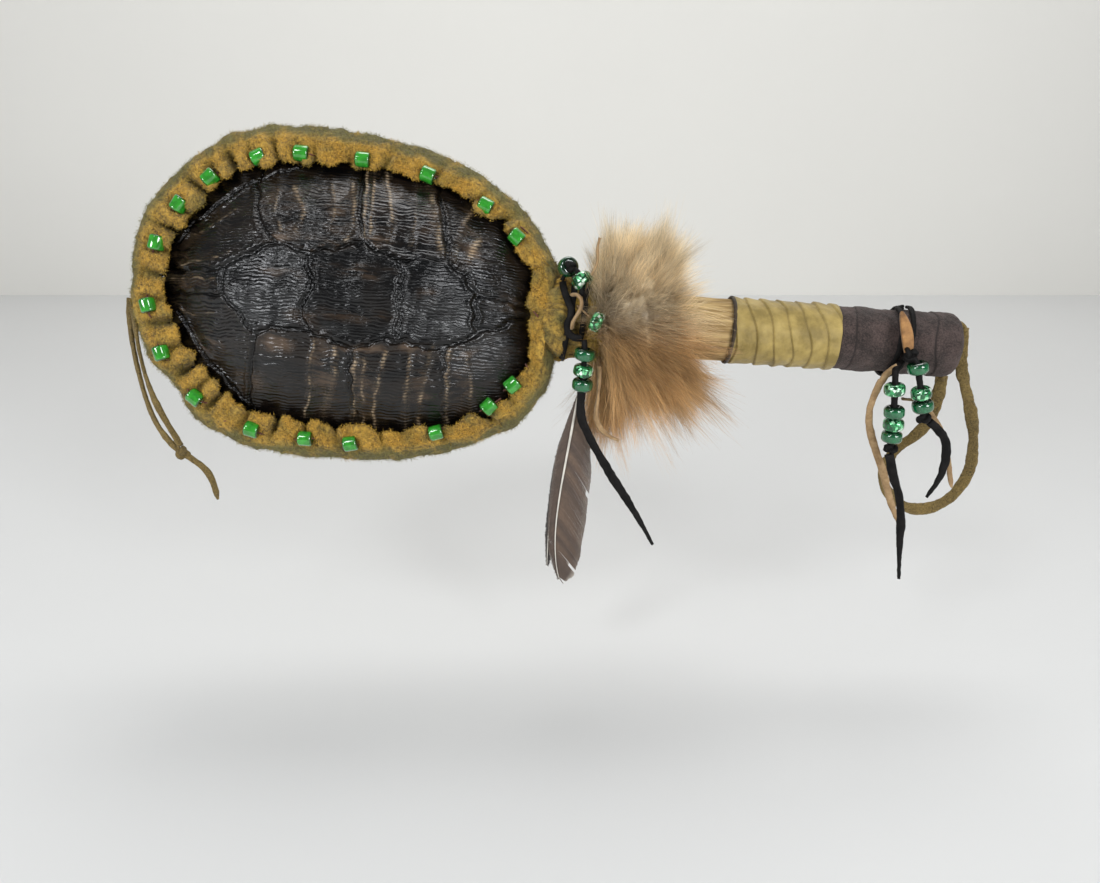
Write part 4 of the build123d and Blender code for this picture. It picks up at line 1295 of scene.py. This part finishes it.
# ================================================================ feather
def make_feather(name, node, shaft_mm, left_mm, right_mm, dark, warm, seed, barbs=330, lift=0.0):
    """Feather: quill, and a vane of many separate barbs on each side of it."""
    rng = np.random.default_rng(seed)
    shaft = curve_line(shaft_mm, 24)
    along = np.concatenate([[0], np.cumsum(np.linalg.norm(np.diff(shaft, axis=0), axis=1))])
    total = along[-1]
    blades, colours = [], []
    widths = {-1: left_mm, 1: right_mm}
    for sign in (-1, 1):
        stops, spans = zip(*widths[sign])
        for k in range(barbs):
            u = (k + 0.5) / barbs
            s = u * total
            root = np.array([np.interp(s, along, shaft[:, i]) for i in range(3)])
            ahead = np.array([np.interp(min(s + 2, total), along, shaft[:, i]) for i in range(3)]) - root
            ahead = ahead / (np.linalg.norm(ahead) + 1e-9) if s < total - 1 else np.array([0, 0, -1.0])
            out = np.cross(ahead, (0, 1, 0)) * sign
            out /= np.linalg.norm(out)
            span = np.interp(u, stops, spans)
            split = 0.0
            for place, tear in ((0.84, 3.0), (0.38, 1.6)):
                if sign == 1 and abs(u - place) < 0.012:
                    split = tear
            span = max(0.2, span - split + rng.normal() * 0.12)
            sweep_down = 0.95 + 0.5 * u
            steps = np.linspace(0, 1, 6)
            curl = -1.6 * steps ** 2 * (0.7 if sign == 1 else 1.0)
            spine = (root + np.outer(steps * span, out) + np.outer(steps ** 1.15 * span * sweep_down, ahead)
                     + np.outer(curl, (0, -1, 0)) * 0.6 + np.array([0, lift, 0]))
            spine += rng.normal(size=3) * (0.0, 0.03, 0.0)
            spread = total / barbs * (0.95 - 0.2 * steps) * 1.25
            edge_low = spine - np.outer(spread * 0.5, ahead)
            edge_high = spine + np.outer(spread * 0.5, ahead)
            blades.append(np.stack([edge_low, edge_high], 1))
            streak = 0.5 + 0.5 * math.sin(u * 46 + 2.2 * math.sin(u * 17))
            warmth = np.clip(0.25 + 0.75 * streak * (1 - steps * 0.7) * (1.0 if sign == 1 else 0.3), 0, 1)
            shade = np.outer(1 - warmth, dark) + np.outer(warmth, warm)
            pale = smoothstep(0.86, 1.0, steps) * (0.5 if u > 0.82 else 0.12)
            shade = shade * (1 - pale[:, None]) + np.outer(pale, (0.5, 0.45, 0.38))
            shade *= rng.uniform(0.8, 1.2)
            colours.append(np.repeat(shade, 2, axis=0))
    blades = np.array(blades)
    count = len(blades)
    points = blades.reshape(-1, 3)
    start = np.arange(count)[:, None, None] * 12
    quad = np.arange(5)[None, :, None] * 2 + np.array([0, 1, 3, 2])[None, None, :]
    faces = (start + quad).reshape(-1, 4)
    vane = new_mesh(name, points * MM, faces, mat_feather, smooth=True)
    set_colours(vane, "shade", np.concatenate(colours))
    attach(vane, "neck_string")
    if node:
        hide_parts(node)
    thick = np.interp(np.linspace(0, 1, len(shaft)), [0, 0.15, 1], [1.7, 1.5, 0.35])
    quill_points, quill_faces = tube_part(shaft + np.array([0, lift - 0.35, 0]), thick, thick * 0.8, ring=10)
    quill = new_mesh(name + "_quill", quill_points * MM, quill_faces, mat_quill)
    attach(quill, "neck_string")


make_feather("wing_feather", "feather",
             [(-126.8, -21.8, -25), (-128.2, -21.6, -36), (-130.4, -21.4, -58), (-132.6, -21.4, -80),
              (-133.4, -21.4, -100), (-131.6, -21.4, -118), (-129.5, -21.4, -124)],
             [(0, 0), (0.06, 1.0), (0.16, 3.0), (0.3, 5.0), (0.5, 4.4), (0.8, 3.2), (1.0, 0.8)],
             [(0, 0), (0.04, 2.5), (0.14, 8.5), (0.28, 13.0), (0.5, 14.5), (0.7, 13.0), (0.88, 8.0), (1.0, 2.0)],
             (0.05, 0.034, 0.027), (0.125, 0.08, 0.052), 141)
make_feather("under_feather", None,
             [(-127.0, -19.8, -28), (-130.0, -19.6, -42), (-134.5, -19.4, -62), (-136.0, -19.4, -84),
              (-136.6, -19.4, -104), (-136.0, -19.4, -118)],
             [(0, 0), (0.1, 1.0), (0.3, 1.8), (0.8, 1.6), (1.0, 0.5)],
             [(0, 0), (0.1, 3.0), (0.4, 7.0), (0.8, 4.0), (1.0, 0.8)],
             (0.022, 0.018, 0.016), (0.045, 0.032, 0.026), 142, barbs=240)


# ================================================================ fur
def make_fur(name, count, seed, region, length_low, length_high, width=0.19):
    """Soft strands in pointed tufts, swept from the pelt round the stick; region picks their lie and colour."""
    rng = np.random.default_rng(seed)
    segments = 7
    clumps = count // 42
    clump_angle = np.radians(rng.uniform(region["from"], region["to"], clumps))
    clump_x = rng.uniform(*region["x"], clumps)
    clump_lean = rng.normal(size=(clumps, 3)) * 0.17
    clump_length = rng.uniform(length_low, length_high, clumps)
    clump_tone = rng.uniform(0.45, 1.4, clumps)
    pick = rng.integers(0, clumps, count)
    angle = clump_angle[pick] + rng.normal(size=count) * 0.13
    x = clump_x[pick] + rng.normal(size=count) * 2.0
    radial = np.stack([np.zeros(count), np.cos(angle), np.sin(angle)], 1)
    root = radial * (13.0 + rng.uniform(0, 1.0, count))[:, None]
    root[:, 0] = x

    def lie(angles, xs):
        out = np.stack([np.zeros(len(angles)), np.cos(angles), np.sin(angles)], 1)
        sweep = region["sweep"](angles, xs)
        way = out * (1.15 - 0.75 * sweep)[:, None]
        way[:, 0] += sweep
        return way / np.linalg.norm(way, axis=1, keepdims=True)

    droop = np.array(region["droop"], float)
    clump_reach = clump_length * region["reach"](clump_angle, clump_x)
    clump_root = np.stack([clump_x, 13.5 * np.cos(clump_angle), 13.5 * np.sin(clump_angle)], 1)
    clump_way = lie(clump_angle, clump_x) + clump_lean + droop
    clump_tip = clump_root + clump_way * clump_reach[:, None]
    gather = rng.uniform(0.25, 0.95, count)[:, None]
    length = clump_reach[pick] * rng.uniform(0.62, 1.06, count)
    own_tip = root + (lie(angle, x) + clump_lean[pick] + droop + rng.normal(size=(count, 3)) * 0.16) * length[:, None]
    tip = own_tip * (1 - gather) + (clump_tip[pick] + rng.normal(size=(count, 3)) * 1.0) * gather
    for side in (1, 2):
        far = np.abs(tip[:, side])
        limit = region.get("front", 46.0) if side == 1 else 74.0
        tip[:, side] *= np.where(far > limit, (limit + (far - limit) * 0.25) / np.maximum(far, 1e-6), 1.0)
    middle = root + lie(angle, x) * (length * 0.52)[:, None] + rng.normal(size=(count, 3)) * 0.9
    t = np.linspace(0, 1, segments + 1)
    spine = (root[:, None, :] * ((1 - t) ** 2)[None, :, None]
             + middle[:, None, :] * (2 * t * (1 - t))[None, :, None] + tip[:, None, :] * (t ** 2)[None, :, None])
    kink = rng.normal(size=(count, 1, 3)) * np.sin(t * rng.uniform(4, 9, (count, 1)))[:, :, None] * 0.35
    spine = spine + kink * t[None, :, None]
    facing = np.cross(tip - root, rng.normal(size=(count, 3)))
    facing /= np.linalg.norm(facing, axis=1, keepdims=True)
    taper = width * (1 - t ** 1.8 * 0.88) * 0.5
    left = spine - facing[:, None, :] * taper[None, :, None]
    right = spine + facing[:, None, :] * taper[None, :, None]
    points = np.stack([left, right], axis=2).reshape(-1, 3)
    start = np.arange(count)[:, None, None] * (segments + 1) * 2
    quad = np.arange(segments)[None, :, None] * 2 + np.array([0, 1, 3, 2])[None, None, :]
    piece = new_mesh(name, points * MM, (start + quad).reshape(-1, 4), mat_fur)
    shade = region["colour"](angle, x, spine, t, rng) * clump_tone[pick][:, None, None]
    set_colours(piece, "shade", np.repeat(shade, 2, axis=1).reshape(-1, 3))
    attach(piece, "rattle")
    return piece


CREAM = np.array((0.76, 0.57, 0.32))
PALE = np.array((0.86, 0.75, 0.53))
SMOKE = np.array((0.12, 0.09, 0.07))
TAN = np.array((0.66, 0.42, 0.18))
RUST = np.array((0.42, 0.2, 0.06))


def fur_colour(angle, x, spine, t, rng):
    """Cream above, smoky grey at the roots and in a band, gold to rust below and at the tips."""
    height = spine[..., 2]
    count = len(angle)
    up = smoothstep(-2, 16, height)
    tip = t[None, :]
    below = TAN[None, None, :] * (1 - tip[..., None] ** 2 * 0.55) + RUST[None, None, :] * tip[..., None] ** 2 * 0.55
    above = CREAM[None, None, :] * (1 - tip[..., None] * 0.5) + PALE[None, None, :] * tip[..., None] * 0.5
    shade = below * (1 - up[..., None]) + above * up[..., None]
    flat = spine.reshape(-1, 3)
    patch = smoothstep(0.1, 0.9, wobble(flat, 30.0, 151)).reshape(height.shape)
    band = np.exp(-((height - 11) / 9.0) ** 2) * smoothstep(-84, -100, spine[..., 0])
    smoke = np.clip(band * 0.6 + 0.6 * patch * smoothstep(0.7, 0.1, tip), 0, 0.75) * (1 - tip * 0.45)
    shade = shade * (1 - smoke[..., None]) + SMOKE[None, None, :] * smoke[..., None]
    root_dark = 0.55 + 0.45 * smoothstep(0.0, 0.35, tip)
    return shade * root_dark[..., None] * rng.uniform(0.72, 1.25, (count, 1, 1))


def fur_sweep(angle, x):
    """Share of the direction that runs along the handle: little at the top, most below and in front."""
    up = np.sin(angle)
    return np.clip(0.42 - 0.2 * up + 0.014 * (x + 105), 0.08, 0.9)


def fur_reach(angle, x):
    up = np.sin(angle)
    right = smoothstep(-108, -94, x)
    return 1.0 - 0.1 * np.clip(up, 0, 1) + 0.02 * np.clip(-up, 0, 1) - 0.08 * right * np.clip(0.35 - up, 0, 1)


pelt = {"from": 0, "to": 360, "x": (-120.0, -94.0), "sweep": fur_sweep, "reach": fur_reach,
        "droop": (0.06, -0.02, -0.10), "colour": fur_colour}
crown = dict(pelt)
crown.update({"from": 40, "to": 150, "x": (-120.0, -96.0), "droop": (0.02, 0.0, 0.05)})
skirt = dict(pelt)
skirt.update({"from": 165, "to": 320, "x": (-119.0, -92.0), "droop": (0.05, -0.02, -0.1)})
hang = dict(pelt)
hang.update({"from": 232, "to": 300, "x": (-119.5, -111.0), "front": 10.0,
             "sweep": lambda angle, x: np.full_like(angle, 0.06), "droop": (0.0, -0.03, -0.25)})
left_edge = dict(pelt)
left_edge.update({"from": 20, "to": 175, "x": (-121.0, -115.0),
                  "sweep": lambda angle, x: np.full_like(angle, -0.12), "droop": (-0.10, 0, 0.03)})


def make_underfur():
    """Dense undercoat that closes the tuft behind its strands."""
    count, columns = 46, 120
    t = np.linspace(0, 1, count)
    angle = np.linspace(0, TAU, columns, endpoint=False)
    tt, aa = np.meshgrid(t, angle, indexing="ij")
    x = -121.0 + 44.0 * tt
    up = np.sin(aa)
    crown_r = 33 * np.sin(math.pi * np.clip(tt * 1.25 + 0.05, 0, 1)) ** 0.7
    skirt_r = 27 * np.sin(math.pi * np.clip(tt * 0.92 + 0.06, 0, 1)) ** 0.7
    share = smoothstep(-0.4, 0.5, up)
    r = 12.6 + (crown_r * share + skirt_r * (1 - share)) * 0.62
    points = np.stack([x, r * np.cos(aa), r * np.sin(aa)], -1)
    flat = points.reshape(-1, 3)
    bump = (wobble(flat, 9.0, 161) * 1.6 + wobble(flat, 3.5, 162) * 0.8) * smoothstep(14.0, 19.0, r).ravel()
    radial = np.stack([np.zeros(aa.size), np.cos(aa).ravel(), np.sin(aa).ravel()], 1)
    flat = flat + radial * bump[:, None]
    piece = new_mesh("fur_undercoat", flat * MM, grid_faces(count, columns, wrap_cols=True)[:, ::-1], mat_fur)
    rng = np.random.default_rng(163)
    spine = flat.reshape(-1, 1, 3)
    shade = fur_colour(aa.ravel(), x.ravel(), spine, np.array([0.35]), rng)[:, 0]
    set_colours(piece, "shade", shade * 0.75)
    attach(piece, "rattle")
    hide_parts("fur_tuft")


make_underfur()
back = dict(pelt)
back.update({"from": -60, "to": 70})
make_fur("fur_coat", 14000, 171, pelt, 24, 36, width=0.15)
make_fur("fur_crown", 14000, 172, crown, 24, 36, width=0.15)
make_fur("fur_skirt", 14000, 173, skirt, 25, 40, width=0.16)
make_fur("fur_back", 9000, 177, back, 24, 36, width=0.16)
make_fur("fur_left_edge", 4500, 174, left_edge, 11, 22, width=0.15)
make_fur("fur_hang", 5500, 176, hang, 30, 38, width=0.15)
make_fur("fur_guard_hairs", 1300, 175, pelt, 36, 50, width=0.09)


# ================================================================ pebbles inside
for number in (1, 2, 3):
    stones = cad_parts[f"pebbles_{number}"]
    stones.data.materials.clear()
    stones.data.materials.append(mat_stone)


# ================================================================ stage and light
def plain_material(name, shade, rough=0.9):
    m = Material(name)
    tone = m.ramp(m.noise(300.0, 2.0, 0.5), (0.3, tuple(0.985 * c for c in shade)), (0.7, shade))
    return m.finish(tone, rough)


def quad_stage(name, corners, material):
    mesh = bpy.data.meshes.new(name)
    mesh.from_pydata([tuple(c) for c in corners], [], [(0, 1, 2, 3)])
    piece = bpy.data.objects.new(name, mesh)
    mesh.materials.append(material)
    bpy.context.scene.collection.objects.link(piece)


TABLE_DROP = 0.055  # metres from the feather's tip down to the table
STAGE_SIDE = 3.0
TABLE_FRONT = 2.5
WALL_DISTANCE = 0.93
WALL_HEIGHT = 2.6


def make_stage():
    """Pale table and backdrop, level in the camera's picture."""
    up = (cam_up * math.cos(CAMERA_PITCH) + cam_back * math.sin(CAMERA_PITCH)).normalized()
    right = cam_right
    ahead = up.cross(right)
    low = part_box("feather")[0].z - TABLE_DROP
    foot = Vector((-0.14, 0.0, low))
    table = [foot - right * STAGE_SIDE - ahead * TABLE_FRONT, foot + right * STAGE_SIDE - ahead * TABLE_FRONT,
             foot + right * STAGE_SIDE + ahead * WALL_DISTANCE, foot - right * STAGE_SIDE + ahead * WALL_DISTANCE]
    quad_stage("table", table, plain_material("pale_table", (0.67, 0.67, 0.66)))
    back = [table[3], table[2], table[2] + up * WALL_HEIGHT, table[3] + up * WALL_HEIGHT]
    quad_stage("backdrop", back, plain_material("pale_backdrop", (0.78, 0.765, 0.72)))


def area_light(name, place, target, size, power, shade=(1, 1, 1), size_y=None):
    data = bpy.data.lights.new(name, "AREA")
    data.energy = power
    data.color = shade
    data.shape = "RECTANGLE"
    data.size = size
    data.size_y = size_y or size
    light = bpy.data.objects.new(name, data)
    light.location = place
    light.rotation_euler = (Vector(target) - Vector(place)).to_track_quat("-Z", "Y").to_euler()
    bpy.context.scene.collection.objects.link(light)


def make_lights():
    world = bpy.data.worlds.new("studio")
    bpy.context.scene.world = world
    world.use_nodes = True
    background = world.node_tree.nodes["Background"]
    background.inputs["Color"].default_value = (0.95, 0.97, 1.0, 1.0)
    background.inputs["Strength"].default_value = 0.2
    aim = (-0.15, 0.0, 0.0)
    area_light("top", (-0.1, 0.7, 1.45), aim, 1.0, 11.5)
    area_light("key", (-0.75, -0.85, 0.9), aim, 0.3, 3.8, (0.96, 0.98, 1.0))
    area_light("fill", (0.5, -1.0, 0.8), aim, 0.3, 3.3, (0.96, 0.98, 1.0))
    shell = (-0.236, 0.0, 0.0)
    area_light("window_left", (-1.146, -0.9, 0.27), shell, 0.5, 8.5, (0.95, 0.97, 1.0), 0.3)
    area_light("window_right", (0.62, -0.94, 0.31), shell, 0.6, 9.0, (0.95, 0.97, 1.0), 0.3)
    area_light("backdrop_wash", (-0.1, 0.35, 1.15), (-0.14, 0.93, 0.25), 2.4, 4.0, size_y=0.3)


make_stage()
make_lights()
scene = bpy.context.scene
scene.view_settings.view_transform = "Standard"
scene.view_settings.look = "None"
